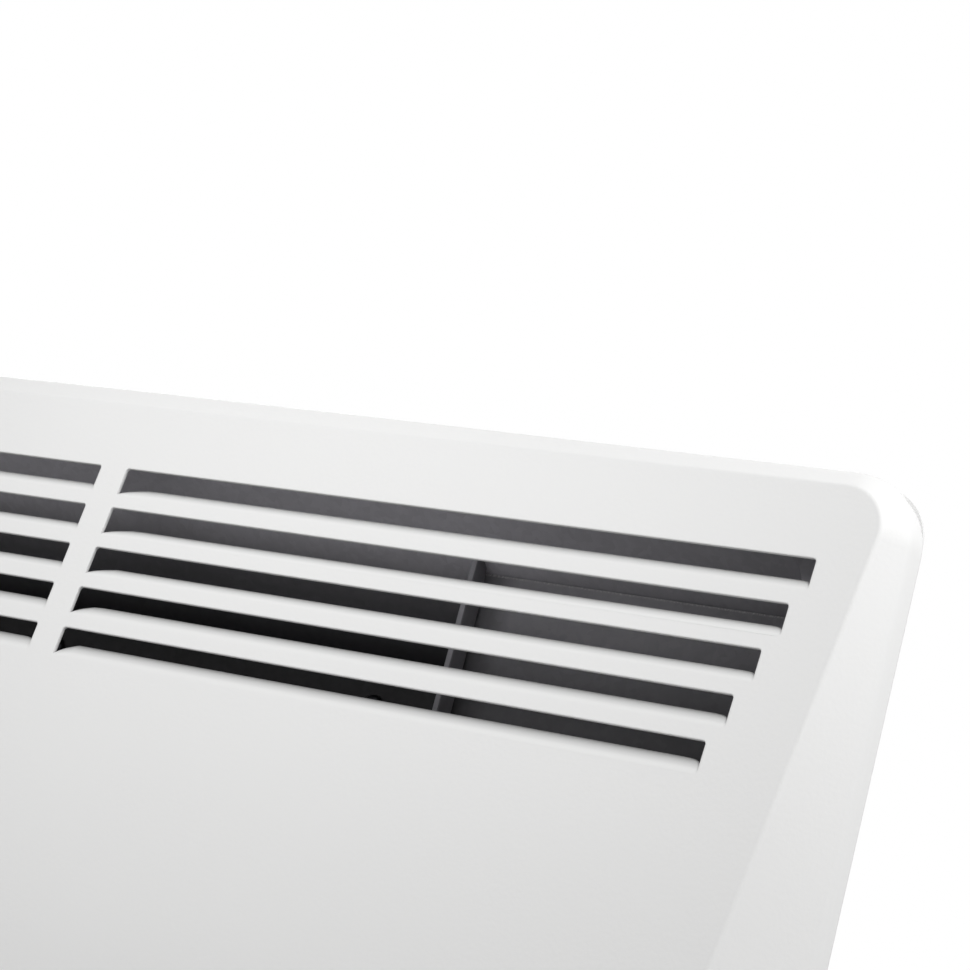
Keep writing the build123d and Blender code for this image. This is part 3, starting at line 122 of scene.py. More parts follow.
# Screws: the head and its profile as shares of radius and height, the thread and the recess
HEAD_HEIGHT, HEAD_RADIUS, SCREW_SIDES = 0.0022, 0.0032, 20
HEAD_PROFILE = ((0.0, 1.0), (0.35, 0.985), (0.62, 0.93), (0.82, 0.80), (0.95, 0.58),
                (1.0, 0.34), (1.0, 0.0))
THREAD_CORE, THREAD_CREST, THREAD_PITCH = 0.00125, 0.00155, 0.0006
PLAIN_SHANK, SCREW_TIP = 0.0008, 0.0006
RECESS_ARM, RECESS_TAPER, RECESS_ABOVE = 0.0009, 0.45, 0.0004
SCREW_FACINGS = {
    "cover_screws": BACKWARD, "deflector_screws": FORWARD, "partition_screws": FORWARD,
    "lid_screws": FORWARD, "lid_side_screws": RIGHTWARD, "reflector_screws": FORWARD,
    "element_screws": FORWARD, "cutout_screw": FORWARD, "bezel_screws": RIGHTWARD,
}

# Printed marks: where a line towards the right side starts, the ink's thickness and the type's
# size for a letter's height, then the knob's numbers and ticks, the index and the rockers
OUTSIDE_X, INK_THICKNESS, TYPE_SIZE = 0.3, 0.00004, 1.4
NUMBER_RING, NUMBER_HEIGHT, NUMBER_STEP, NUMBERS = 0.0100, 0.0028, 45.0, range(1, 7)
TICK_RING, TICK_SIZE, TICK_SWEEP = 0.0127, (0.0009, 0.00022, 0.00008), 225.0
INDEX_SIZE, INDEX_GAP = (0.0006, 0.0022, 0.00008), 0.0022
ROCKER_MARKS, ROCKER_MARK_HEIGHT = (("I", 0.0042), ("O", -0.0042)), 0.0026

# The gland's grip ribs: how many, their size, their height above its foot and their rounding
GLAND_RIBS, GLAND_RIB_SIZE = 28, (0.0008, 0.0007, 0.0034)
GLAND_RIB_LEVEL, GLAND_RIB_EDGE = 0.0038, 0.00015

# Edge rounding of the other small parts
FINE_EDGE, SMALL_EDGE, FIN_EDGE, RIVET_EDGE, BUFFER_EDGE = 0.0001, 0.0002, 0.0003, 0.0004, 0.0012

# The floor: half its width, and the distances between which it fades to white
FLOOR_HALF, FLOOR_FADE = 20.0, (0.7, 1.7)


# ---------------------------------------------------------------- sizes and colours

class HeaterSizes(bpy.types.PropertyGroup):
    """Sizes of the fine detail added to the solids"""
    sheet_edge: FloatProperty(
        name="Sheet edge rounding", description="Radius along cut sheet edges",
        default=0.00018, unit="LENGTH")
    grille_edge: FloatProperty(
        name="Grille edge rounding", description="Radius along the slots' pressed edges",
        default=0.00030, unit="LENGTH")
    moulded_edge: FloatProperty(
        name="Moulded edge rounding", description="Radius along the edges of plastic parts",
        default=0.00035, unit="LENGTH")
    screw_recess_width: FloatProperty(
        name="Cross recess width", description="Width across a screw's cross recess",
        default=0.0034, unit="LENGTH")
    screw_recess_depth: FloatProperty(
        name="Cross recess depth", description="Depth of a screw's cross recess",
        default=0.0012, unit="LENGTH")
    dial_ticks: IntProperty(
        name="Dial ticks", description="Marks round the thermostat knob", default=28)


class HeaterColours(bpy.types.PropertyGroup):
    """Base colours of the finishes"""
    white_paint: FloatVectorProperty(
        name="White powder coat", description="Front cover and rear chassis",
        subtype="COLOR", default=(0.82, 0.82, 0.816))
    dark_paint: FloatVectorProperty(
        name="Inner sheets", description="Deflector, partition and control chamber lid",
        subtype="COLOR", default=(0.15, 0.149, 0.157))
    # The inner sheets' colour where their painted light is brightest, by the grille; their painted
    # light and shade darken it away from there
    pale_sheet: FloatVectorProperty(
        name="Inner sheets near the outlet", description="Inner sheet colour by the grille",
        subtype="COLOR", default=(0.725, 0.708, 0.762))
    zinc: FloatVectorProperty(
        name="Zinc plate", description="Bracket, latches and small steel parts",
        subtype="COLOR", default=(0.60, 0.61, 0.62))
    black_plastic: FloatVectorProperty(
        name="Black plastic", description="Switches, gland and sensor housing",
        subtype="COLOR", default=(0.022, 0.022, 0.024))
    grey_plastic: FloatVectorProperty(
        name="Control panel plastic", description="Bezel on the right side",
        subtype="COLOR", default=(0.70, 0.70, 0.69))
    dial_ink: FloatVectorProperty(
        name="Dial ink", description="Ticks and numbers round the knob",
        subtype="COLOR", default=(0.05, 0.05, 0.055))


class StudioSettings(bpy.types.PropertyGroup):
    """Camera, lamps and floor"""
    camera_place: FloatVectorProperty(
        name="Camera place", description="Where the camera stands",
        subtype="TRANSLATION", default=(0.445228, -0.597617, 0.045458))
    camera_turn: FloatVectorProperty(
        name="Camera turn", description="The camera's rotation",
        subtype="EULER", default=(math.radians(103.3906), math.radians(-14.8122),
                                  math.radians(29.2291)))
    camera_lens: FloatProperty(
        name="Focal length", description="Focal length for a 36 mm sensor, in millimetres",
        default=90.59)
    world_level: FloatProperty(
        name="World level", description="Strength of the even studio light", default=0.48)
    key_power: FloatProperty(
        name="Key lamp", description="Power of the lamp close in front of the grille",
        default=0.368, unit="POWER")
    fill_power: FloatProperty(
        name="Side lamp", description="Power of the lamp above the right side", default=1.17,
        unit="POWER")
    back_power: FloatProperty(
        name="Back lamp", description="Power of the lamp behind the left side", default=11.0,
        unit="POWER")
    floor_glow: FloatProperty(
        name="Floor glow", description="Light added to the floor as the camera sees it",
        default=0.36)
    floor_drop: FloatProperty(
        name="Floor distance", description="Height of the heater above the floor",
        default=0.12, unit="LENGTH")


def sizes():
    return bpy.context.scene.heater_sizes


def colours():
    return bpy.context.scene.heater_colours


def studio():
    return bpy.context.scene.heater_studio


# ---------------------------------------------------------------- node helpers

def feed(tree, value, socket):
    """Wires a socket in, or sets the input to a number, a vector or a colour of three."""
    if isinstance(value, bpy.types.NodeSocket):
        tree.links.new(value, socket)
    elif socket.type == "RGBA" and len(value) == 3:
        socket.default_value = (*value, 1.0)
    else:
        socket.default_value = value


def add_node(tree, kind, *feeds, **values):
    """A new node; named values go to its attributes or inputs, the others to inputs in order."""
    node = tree.nodes.new(kind)
    for name, value in values.items():
        label = name.replace("_", " ")
        if label in node.inputs:
            feed(tree, value, node.inputs[label])
        else:
            setattr(node, name, value)
    for value, socket in zip(feeds, node.inputs):
        feed(tree, value, socket)
    return node


def maths(tree, operation, *operands):
    return add_node(tree, "ShaderNodeMath", *operands, operation=operation).outputs[0]


def vector_maths(tree, operation, *operands, result="Vector"):
    return add_node(tree, "ShaderNodeVectorMath", *operands,
                    operation=operation).outputs[result]


def remap(tree, value, low, high, new_low, new_high, kind="LINEAR"):
    """A value stretched from one range to another, clamped."""
    return add_node(tree, "ShaderNodeMapRange", value, low, high, new_low, new_high,
                    interpolation_type=kind).outputs["Result"]


def parts_of(tree, vector):
    """The X, Y and Z of a vector."""
    return add_node(tree, "ShaderNodeSeparateXYZ", vector).outputs


def object_place(tree):
    return tree.nodes.new("ShaderNodeTexCoord").outputs["Object"]


def facing_of(tree):
    return tree.nodes.new("ShaderNodeNewGeometry").outputs["Normal"]


def pattern(tree, kind, scale, **values):
    """A texture node laid on the object's own coordinates."""
    return add_node(tree, "ShaderNodeTex" + kind, Vector=object_place(tree), Scale=scale, **values)


def blend_colour(tree, mask, first, second, mode="MIX"):
    """A colour mix; mask and colours are sockets or values."""
    node = add_node(tree, "ShaderNodeMix", data_type="RGBA", blend_type=mode)
    for index, value in ((0, mask), (6, first), (7, second)):
        feed(tree, value, node.inputs[index])
    return node.outputs[2]


SOCKET_KINDS = {float: "Float", int: "Int", tuple: "Vector"}


def new_tree(tree_kind, name, inputs, outputs):
    """An empty node group, and the ends of its named sockets inside it.

    A socket is given by its default value, or by its kind where it has none."""
    tree = bpy.data.node_groups.new(name, tree_kind)
    for way, sockets in (("INPUT", inputs), ("OUTPUT", outputs)):
        for label, value in sockets.items():
            kind = value if isinstance(value, str) else SOCKET_KINDS[type(value)]
            socket = tree.interface.new_socket(name=label, in_out=way,
                                               socket_type="NodeSocket" + kind)
            if kind != value:
                socket.default_value = value
    inside = tree.nodes.new("NodeGroupInput").outputs
    return tree, inside, tree.nodes.new("NodeGroupOutput").inputs


def new_group(name, inputs, outputs):
    """An empty shader group whose outputs are numbers."""
    return new_tree("ShaderNodeTree", name, inputs, dict.fromkeys(outputs, "Float"))


def shared_group(name):
    """A shared effect, built the first time it is asked for."""
    return bpy.data.node_groups.get(name) or GROUP_MAKERS[name](name)


def effect(tree, name, **values):
    """The outputs of a shared effect placed in a material, with its inputs set by name."""
    return add_node(tree, "ShaderNodeGroup", node_tree=shared_group(name), **values).outputs


# ---------------------------------------------------------------- shared effects

def coat_texture_group(name):
    """Orange-peel height and a slight tone change of powder coat."""
    group, inside, outside = new_group(name, {"Peel Scale": 900.0, "Tone Scale": 9.0},
                                       ("Height", "Tone"))
    peel = pattern(group, "Noise", inside["Peel Scale"], Detail=2.0, Roughness=0.45)
    tone = pattern(group, "Noise", inside["Tone Scale"], Detail=3.0, Roughness=0.5)
    feed(group, peel.outputs[0], outside["Height"])
    feed(group, tone.outputs[0], outside["Tone"])
    return group


def edge_wear_group(name):
    """A mask along outer edges, broken up by noise."""
    group, inside, outside = new_group(
        name, {"Radius": 0.0004, "Amount": 0.5, "Break Up": 300.0}, ("Mask",))
    rounded = add_node(group, "ShaderNodeBevel", samples=4, Radius=inside["Radius"])
    alike = vector_maths(group, "DOT_PRODUCT", rounded.outputs["Normal"], facing_of(group),
                         result="Value")
    edge = remap(group, maths(group, "SUBTRACT", 1.0, alike), 0.02, 0.25, 0.0, 1.0)
    patches = pattern(group, "Noise", inside["Break Up"], Detail=4.0)
    broken = remap(group, patches.outputs[0], 0.42, 0.62, 0.0, 1.0)
    mask = maths(group, "MULTIPLY", maths(group, "MULTIPLY", edge, broken), inside["Amount"])
    feed(group, mask, outside["Mask"])
    return group


def dust_group(name):
    """A mask of fine dust on upward faces."""
    group, inside, outside = new_group(name, {"Amount": 0.3, "Scale": 60.0}, ("Mask",))
    up = remap(group, parts_of(group, facing_of(group))["Z"], 0.35, 0.95, 0.0, 1.0)
    specks = pattern(group, "Noise", inside["Scale"], Detail=6.0, Roughness=0.65)
    broken = remap(group, specks.outputs[0], 0.35, 0.7, 0.2, 1.0)
    mask = maths(group, "MULTIPLY", maths(group, "MULTIPLY", up, broken), inside["Amount"])
    feed(group, mask, outside["Mask"])
    return group


def tone_about_one(tree, value, contrast):
    """A factor about one, from a value about a half and a contrast."""
    return maths(tree, "ADD", 1.0,
                 maths(tree, "MULTIPLY", maths(tree, "SUBTRACT", value, 0.5), contrast))


def spangle_group(name):
    """Crystal pattern of zinc plate: a tone and a roughness that change from grain to grain."""
    group, inside, outside = new_group(name, {"Grain Size": 260.0, "Contrast": 0.25},
                                       ("Tone", "Roughness", "Height"))
    warp = pattern(group, "Noise", 180.0, Detail=2.0)
    bent = vector_maths(group, "MULTIPLY_ADD", warp.outputs["Color"], (0.003, 0.003, 0.003),
                        object_place(group))
    grains = add_node(group, "ShaderNodeTexVoronoi", Vector=bent, Scale=inside["Grain Size"])
    split = add_node(group, "ShaderNodeSeparateColor", grains.outputs["Color"]).outputs
    fine = pattern(group, "Noise", 2200.0, Detail=3.0)
    feed(group, tone_about_one(group, split[0], inside["Contrast"]), outside["Tone"])
    feed(group, remap(group, split[1], 0.0, 1.0, 0.34, 0.52), outside["Roughness"])
    feed(group, fine.outputs[0], outside["Height"])
    return group


def streak_group(name):
    """Long rolling or drawing streaks along one axis."""
    group, inside, outside = new_group(
        name, {"Stretch": (6.0, 900.0, 900.0), "Contrast": 0.2}, ("Tone", "Height"))
    scaled = vector_maths(group, "MULTIPLY", object_place(group), inside["Stretch"])
    lines = add_node(group, "ShaderNodeTexNoise", Vector=scaled, Detail=4.0, Scale=1.0,
                     Roughness=0.6).outputs[0]
    feed(group, tone_about_one(group, lines, inside["Contrast"]), outside["Tone"])
    feed(group, lines, outside["Height"])
    return group


def moulding_group(name):
    """Fine spark-eroded grain of moulded plastic, with a slight flow tone."""
    group, inside, outside = new_group(name, {"Grain": 1800.0, "Flow": 30.0}, ("Height", "Tone"))
    grain = pattern(group, "Voronoi", inside["Grain"], feature="SMOOTH_F1")
    flow = pattern(group, "Noise", inside["Flow"], Detail=2.0)
    feed(group, grain.outputs["Distance"], outside["Height"])
    feed(group, flow.outputs[0], outside["Tone"])
    return group


def drift_group(name):
    """A mask that grows along a direction between two distances."""
    group, inside, outside = new_group(
        name, {"Direction": (0.0, 1.0, 0.0), "Start": 0.0, "End": 0.1}, ("Mask",))
    along = vector_maths(group, "DOT_PRODUCT", object_place(group), inside["Direction"],
                         result="Value")
    mask = remap(group, along, inside["Start"], inside["End"], 0.0, 1.0, "SMOOTHSTEP")
    feed(group, mask, outside["Mask"])
    return group


def recess_group(name):
    """A mask of painted shade that grows with the depth of the louvres' rolled lips behind the
    face, standing in for the shade cast by the bars above.
    """
    group, inside, outside = new_group(
        name, {"Inward": tuple(FACE_INWARD), "Face": FACE_LEVEL, "Fade Depth": 0.0015}, ("Mask",))
    along = vector_maths(group, "DOT_PRODUCT", object_place(group), inside["Inward"],
                         result="Value")
    behind = maths(group, "MAXIMUM", maths(group, "SUBTRACT", along, inside["Face"]), 0.0)
    share = maths(group, "MULTIPLY", maths(group, "DIVIDE", behind, inside["Fade Depth"]), -1.0)
    mask = maths(group, "SUBTRACT", 1.0, maths(group, "EXPONENT", share))
    spot = parts_of(group, object_place(group))
    upward = parts_of(group, facing_of(group))["Z"]
    across = maths(group, "ABSOLUTE", spot["X"])
    for value, *span in ((upward, 0.16, 0.40, 0.0, 1.0), (across, 0.2140, 0.2145, 1.0, 0.0),
                         (spot["Z"], 0.110, 0.116, 0.0, 1.0),
                         (spot["Z"], 0.178, 0.180, 1.0, 0.0)):
        mask = maths(group, "MULTIPLY", mask, remap(group, value, *span))
    feed(group, mask, outside["Mask"])
    return group


GROUP_MAKERS = {
    "Tone along a direction": drift_group, "Louvre recess": recess_group,
    "Powder coat texture": coat_texture_group, "Edge wear": edge_wear_group,
    "Settled dust": dust_group, "Zinc spangle": spangle_group,
    "Rolling streaks": streak_group, "Moulded grain": moulding_group,
}


# ---------------------------------------------------------------- materials

RUBBED_PAINT, DUST, RUBBED_ZINC = (0.42, 0.42, 0.43), (0.45, 0.43, 0.40), (0.30, 0.30, 0.30)
CUT_EDGE, CUT_EDGE_FADE = (0.47, 0.46, 0.47), 0.0003
# The painted rim round the chassis's opening begins at this X and this Z
RIM_X, RIM_Z, RIM_FADE = 0.2180, 0.1885, 0.0002


def shades_of(colour, factor, offset=0.0):
    """A colour made lighter or darker, at most white."""
    return [min(1.0, channel * factor + offset) for channel in colour]


def blank_material(name):
    """A material with only a Principled shader and its output."""
    material = bpy.data.materials.new(name)
    material.use_nodes = True
    tree = material.node_tree
    tree.nodes.clear()
    shader = tree.nodes.new("ShaderNodeBsdfPrincipled")
    add_node(tree, "ShaderNodeOutputMaterial", Surface=shader.outputs[0])
    return material, tree, shader.inputs


def settle(tree, shader, **values):
    """Sets or wires a shader's inputs by name."""
    for name, value in values.items():
        feed(tree, value, shader[name.replace("_", " ")])


def bump(tree, shader, height, strength, distance, rounding=0.0):
    """A Bump node between a height and the shader's normal, over rounded edges if asked for."""
    node = add_node(tree, "ShaderNodeBump", Strength=strength, Distance=distance, Height=height)
    if rounding:
        rounded = add_node(tree, "ShaderNodeBevel", samples=6, Radius=rounding)
        feed(tree, rounded.outputs["Normal"], node.inputs["Normal"])
    feed(tree, node.outputs[0], shader["Normal"])


def powder_coat(name, colour, roughness=0.42, peel=0.10, wear=0.0, dust=0.0, rounding=0.0):
    """Satin powder coat with orange peel, slight tone change and light dust; with rounding, also
    rounded edge shading and painted shade in the louvres' rolled lips.
    """
    material, tree, shader = blank_material(name)
    texture = effect(tree, "Powder coat texture")
    tone = remap(tree, texture["Tone"], 0.35, 0.65, 0.0, 1.0)
    paint = blend_colour(tree, tone, shades_of(colour, 0.985), colour)
    if wear:
        edge = effect(tree, "Edge wear", Amount=wear)["Mask"]
        paint = blend_colour(tree, edge, paint, RUBBED_PAINT)
    if dust:
        settled = effect(tree, "Settled dust", Amount=dust)["Mask"]
        paint = blend_colour(tree, settled, paint, DUST)
    # Painted shade: with rounding, the louvres' rolled lips are darkened towards a tenth of the
    # colour with their depth behind the face.
    if rounding:
        recess = effect(tree, "Louvre recess")["Mask"]
        paint = blend_colour(tree, recess, paint, shades_of(colour, 0.1))
    rough = remap(tree, texture["Tone"], 0.3, 0.7, roughness - 0.03, roughness + 0.04)
    settle(tree, shader, Base_Color=paint, Roughness=rough, Specular_IOR_Level=0.45)
    bump(tree, shader, texture["Height"], peel, 0.0004, rounding)
    return material


def zinc_plate(name, colour, contrast=0.25, grain=260.0, wear=0.3):
    """Zinc plated sheet with fine spangle and darker handled edges."""
    material, tree, shader = blank_material(name)
    spangle = effect(tree, "Zinc spangle", Grain_Size=grain, Contrast=contrast)
    plate = blend_colour(tree, 1.0, colour, spangle["Tone"], "MULTIPLY")
    edge = effect(tree, "Edge wear", Amount=wear)["Mask"]
    settle(tree, shader, Base_Color=blend_colour(tree, edge, plate, RUBBED_ZINC),
           Roughness=spangle["Roughness"], Metallic=1.0)
    bump(tree, shader, spangle["Height"], 0.05, 0.0002)
    return material


def tone_ramp(tree, direction, tones):
    """Painted light: greys along a direction, from (distance, tone) pairs."""
    start, end = tones[0][0], tones[-1][0]
    light_falloff = effect(tree, "Tone along a direction", Direction=direction, Start=start, End=end)
    shades = add_node(tree, "ShaderNodeValToRGB", light_falloff["Mask"])
    stops = shades.color_ramp.elements
    while len(stops) < len(tones):
        stops.new(0.5)
    for stop, (place, _) in zip(stops, tones):
        stop.position = (place - start) / (end - start)
    for stop, (_, tone) in zip(stops, tones):
        stop.color = (tone, tone, tone, 1.0)
    return shades.outputs[0]


def inner_sheet_finish(name, colour, direction, tones, fades=(), bare=None, rim=None):
    """Dull coated sheet with painted light along a direction and painted shade across its width,
    and a bare edge or painted rim if given.
    """
    material, tree, shader = blank_material(name)
    # Painted light: the coat is lighter towards the grille and darker away from it along the
    # direction.
    coat = blend_colour(tree, 1.0, tone_ramp(tree, direction, tones), colour, "MULTIPLY")
    spot = parts_of(tree, object_place(tree))
    # Painted shade: between each pair of X the coat is darkened towards black.
    for low, high, first, last in fades:
        shade = remap(tree, spot["X"], low, high, 1.0 - first, 1.0 - last)
        coat = blend_colour(tree, shade, coat, BLACK)
    spangle = effect(tree, "Zinc spangle", Grain_Size=520.0, Contrast=0.10)
    coat = blend_colour(tree, 1.0, coat, spangle["Tone"], "MULTIPLY")
    if bare:
        cut = effect(tree, "Tone along a direction", Direction=UPWARD, Start=bare,
                     End=bare + CUT_EDGE_FADE)["Mask"]
        specks = pattern(tree, "Noise", 1500.0, Detail=5.0, Roughness=0.7)
        broken = remap(tree, specks.outputs[0], 0.46, 0.60, 0.15, 1.0)
        coat = blend_colour(tree, maths(tree, "MULTIPLY", cut, broken), coat, CUT_EDGE)
    if rim:
        across = maths(tree, "ABSOLUTE", spot["X"])
        beyond = remap(tree, across, RIM_X, RIM_X + RIM_FADE, 0.0, 1.0)
        above = remap(tree, spot["Z"], RIM_Z, RIM_Z + RIM_FADE, 0.0, 1.0)
        coat = blend_colour(tree, maths(tree, "MAXIMUM", beyond, above), coat, rim)
    rough = remap(tree, spangle["Roughness"], 0.34, 0.52, 0.46, 0.60)
    settle(tree, shader, Base_Color=coat, Roughness=rough, Specular_IOR_Level=0.3)
    bump(tree, shader, spangle["Height"], 0.06, 0.0002)
    return material


def streaked_metal(name, colour, roughness, stretch, contrast=0.2, depth=0.08):
    """Rolled, extruded or drawn metal with streaks along its length."""
    material, tree, shader = blank_material(name)
    streaks = effect(tree, "Rolling streaks", Stretch=stretch, Contrast=contrast)
    rough = remap(tree, streaks["Height"], 0.3, 0.7, roughness - 0.06, roughness + 0.08)
    metal = blend_colour(tree, 1.0, colour, streaks["Tone"], "MULTIPLY")
    settle(tree, shader, Base_Color=metal, Roughness=rough, Metallic=1.0)
    bump(tree, shader, streaks["Height"], depth, 0.0001)
    return material


def moulded_plastic(name, colour, roughness=0.5, grain=0.10, scale=1800.0):
    """Moulded plastic with a fine grain."""
    material, tree, shader = blank_material(name)
    texture = effect(tree, "Moulded grain", Grain=scale)
    tone = blend_colour(tree, texture["Tone"], colour, shades_of(colour, 1.06, 0.002))
    edge = effect(tree, "Edge wear", Amount=0.25)["Mask"]
    rough = remap(tree, texture["Tone"], 0.3, 0.7, roughness - 0.04, roughness + 0.05)
    settle(tree, shader, Roughness=rough,
           Base_Color=blend_colour(tree, edge, tone, shades_of(colour, 1.15, 0.01)))
    bump(tree, shader, texture["Height"], grain, 0.0001)
    return material


def tinted_glass(name, colour, roughness):
    """Translucent lens or lamp envelope."""
    material, tree, shader = blank_material(name)
    cells = pattern(tree, "Voronoi", 1400.0).outputs["Distance"]
    settle(tree, shader, Base_Color=blend_colour(tree, cells, colour, shades_of(colour, 0.8)),
           Roughness=roughness, Transmission_Weight=0.75)
    bump(tree, shader, cells, 0.2, 0.0001)
    return material


def two_tone_insulation(name, colour, stripe):
    """Green earth insulation with a yellow stripe that winds along it."""
    material, tree, shader = blank_material(name)
    bands = pattern(tree, "Wave", 90.0, bands_direction="DIAGONAL").outputs["Fac"]
    mask = remap(tree, bands, 0.45, 0.55, 0.0, 1.0)
    settle(tree, shader, Base_Color=blend_colour(tree, mask, colour, stripe), Roughness=0.45)
    bump(tree, shader, effect(tree, "Moulded grain", Grain=LEAD_GRAIN)["Height"], 0.05, 0.0001)
    return material


def printed_ink(name, colour):
    """Pad-printed ink, a little uneven."""
    material, tree, shader = blank_material(name)
    patches = pattern(tree, "Noise", 2500.0, Detail=3.0).outputs[0]
    thinner = shades_of(colour, 0.8, 0.02)
    settle(tree, shader, Base_Color=blend_colour(tree, patches, colour, thinner), Roughness=0.6)
    bump(tree, shader, patches, 0.05, 0.00005)
    return material


LEAD_GRAIN = 2600.0
# Painted light on the inner sheets as (distance along the sheet, tone), lighter towards the
# grille, and painted shade across the width as (first X, last X, tone there, tone there), darker
# beside the partition's rib
CHASSIS_PAINTED_LIGHT = ((0.060, 0.083), (0.0745, 0.21), (0.0758, 0.60))
DEFLECTOR_PAINTED_LIGHT = ((0.0236, 0.044), (0.026, 0.083), (0.032, 0.206), (0.045, 0.27),
                   (0.052, 0.375), (0.060, 0.64), (0.0725, 1.0))
DEFLECTOR_PAINTED_SHADE = ((0.0, 0.06, 0.93, 1.0), (0.105, 0.140, 1.0, 0.76), (0.140, 0.195, 1.0, 0.75))
LID_PAINTED_LIGHT = ((0.110, 0.15), (0.1325, 0.169), (0.1436, 0.189), (0.1555, 0.281), (0.1665, 0.399))
LID_PAINTED_SHADE = ((0.1125, 0.1185, 0.56, 1.0), (0.150, 0.188, 1.0, 0.77))
LID_CUT_EDGE = 0.1675
PARTITION_PAINTED_LIGHT = ((0.0640, 0.30), (0.0660, 0.33), (0.0665, 0.48))


def sheet_materials(tint):
    """The finishes of painted, plated and rolled sheet."""
    white, pale, zinc = tuple(tint.white_paint), tuple(tint.pale_sheet), tuple(tint.zinc)
    return {
        "white_paint": powder_coat("white powder coat", white, rounding=0.0006),
        "white_paint_rear": powder_coat("rear powder coat", white, 0.46, 0.12, dust=0.25),
        "white_screws": powder_coat("painted screws", shades_of(white, 0.95), 0.4, 0.05, 0.5),
        "dark_paint": powder_coat("inner sheet coating", tuple(tint.dark_paint), 0.38, 0.08,
                                  wear=0.4, dust=0.3),
        "bracket_steel": zinc_plate("bracket zinc plate", zinc),
        # pale is the inner sheets' colour at full painted light; the painted-light ramps darken it
        # away from the grille
        "chassis_inside": inner_sheet_finish("chassis inside", pale, FORWARD, CHASSIS_PAINTED_LIGHT,
                                             rim=white),
        "deflector_sheet": inner_sheet_finish("deflector sheet", pale, FORWARD, DEFLECTOR_PAINTED_LIGHT,
                                              DEFLECTOR_PAINTED_SHADE),
        "lid_sheet": inner_sheet_finish("chamber lid sheet", pale, UPWARD, LID_PAINTED_LIGHT, LID_PAINTED_SHADE,
                                        bare=LID_CUT_EDGE),
        "partition_sheet": inner_sheet_finish("partition sheet", pale, FORWARD,
                                              PARTITION_PAINTED_LIGHT),
        "plated_steel": zinc_plate("inner zinc plate", shades_of(zinc, 0.96), 0.2, 420.0),
        "bright_steel": zinc_plate("bright screws", shades_of(zinc, 1.08), 0.1, 900.0, 0.5),
        "reflector_aluminium": streaked_metal("bright reflector sheet", (0.82, 0.82, 0.83), 0.18,
                                              (4.0, 800.0, 800.0), 0.1, 0.03),
    }


def metal_materials():
    """The finishes of extruded, drawn and turned metal."""
    return {slot: streaked_metal(*values) for slot, values in {
        "blackened": ("blackened screws", (0.05, 0.05, 0.055), 0.4, (400.0, 400.0, 400.0), 0.3),
        "sheath_steel": ("rod sheath", (0.30, 0.27, 0.24), 0.36, (8.0, 700.0, 700.0)),
        "element_aluminium": ("extruded aluminium", (0.74, 0.74, 0.75), 0.34,
                              (5.0, 1100.0, 1100.0)),
        "copper_tube": ("drawn copper", (0.72, 0.42, 0.28), 0.28, (600.0, 600.0, 9.0)),
        "brass_fittings": ("turned brass", (0.70, 0.55, 0.27), 0.3, (500.0, 12.0, 500.0)),
    }.items()}


def moulded_materials(tint):
    """The finishes of plastic, rubber, ceramic and insulation."""
    black, grey = tuple(tint.black_plastic), tuple(tint.grey_plastic)
    return {slot: moulded_plastic(*values) for slot, values in {
        "ceramic": ("unglazed ceramic", (0.76, 0.73, 0.66), 0.75, 0.25, 900.0),
        "black_rubber": ("black rubber", (0.018, 0.018, 0.018), 0.8, 0.3, 700.0),
        "black_plastic": ("black moulding", black, 0.45),
        "cutout_plastic": ("phenolic moulding", (0.030, 0.024, 0.021), 0.5, 0.2, 1200.0),
        "grey_plastic": ("control panel moulding", grey, 0.48, 0.12, 2200.0),
        "knob_plastic": ("knob moulding", shades_of(grey, 1.08), 0.42, 0.08, 2600.0),
        "rocker_plastic": ("rocker moulding", black, 0.24, 0.02),
        "terminal_plastic": ("natural nylon", (0.70, 0.68, 0.62), 0.42, 0.08),
        "brown_lead": ("brown insulation", (0.075, 0.025, 0.010), 0.42, 0.05, LEAD_GRAIN),
        "black_lead": ("black insulation", (0.012, 0.012, 0.013), 0.42, 0.05, LEAD_GRAIN),
        "blue_lead": ("blue insulation", (0.010, 0.065, 0.32), 0.42, 0.05, LEAD_GRAIN),
    }.items()}


def make_materials():
    """Every finish of the heater, by the record's slot name."""
    tint = colours()
    return {
        **sheet_materials(tint), **metal_materials(), **moulded_materials(tint),
        "dial_ink": printed_ink("dial print", tuple(tint.dial_ink)),
        "mark_ink": printed_ink("rocker print", (0.80, 0.80, 0.79)),
        "amber_lens": tinted_glass("amber lens", (0.95, 0.42, 0.06), 0.12),
        "lamp_glass": tinted_glass("lamp envelope", (0.95, 0.75, 0.55), 0.05),
        "green_lead": two_tone_insulation("earth insulation", (0.03, 0.26, 0.03),
                                          (0.75, 0.58, 0.02)),
    }


MATERIALS = {}
# Nodes whose finish is finer than the one of their slot; the three inner sheets' finishes carry
# painted light and shade
OWN_FINISHES = {"air_deflector": "deflector_sheet", "partition_wall": "partition_sheet",
                "control_chamber_lid": "lid_sheet", "deflector_screws": "blackened"}


def finish_of(slot):
    """The material of a slot, all made on first use."""
    if not MATERIALS:
        MATERIALS.update(make_materials())
    return MATERIALS[slot]


def finish_for(node):
    """The material of a CAD node."""
    return finish_of(OWN_FINISHES.get(node, SLOT_OF[node]))


# ---------------------------------------------------------------- mesh helpers

def add_object(name, data=None):
    """An object at the origin, in the scene, with an empty mesh if no data is given."""
    piece = bpy.data.objects.new(name, data or bpy.data.meshes.new(name))
    bpy.context.scene.collection.objects.link(piece)
    return piece


@contextmanager
def edited(mesh, result=None):
    """A mesh opened for an edit, which is written back to it or to another mesh."""
    work = bmesh.new()
    work.from_mesh(mesh)
    yield work
    work.to_mesh(result or mesh)
    work.free()


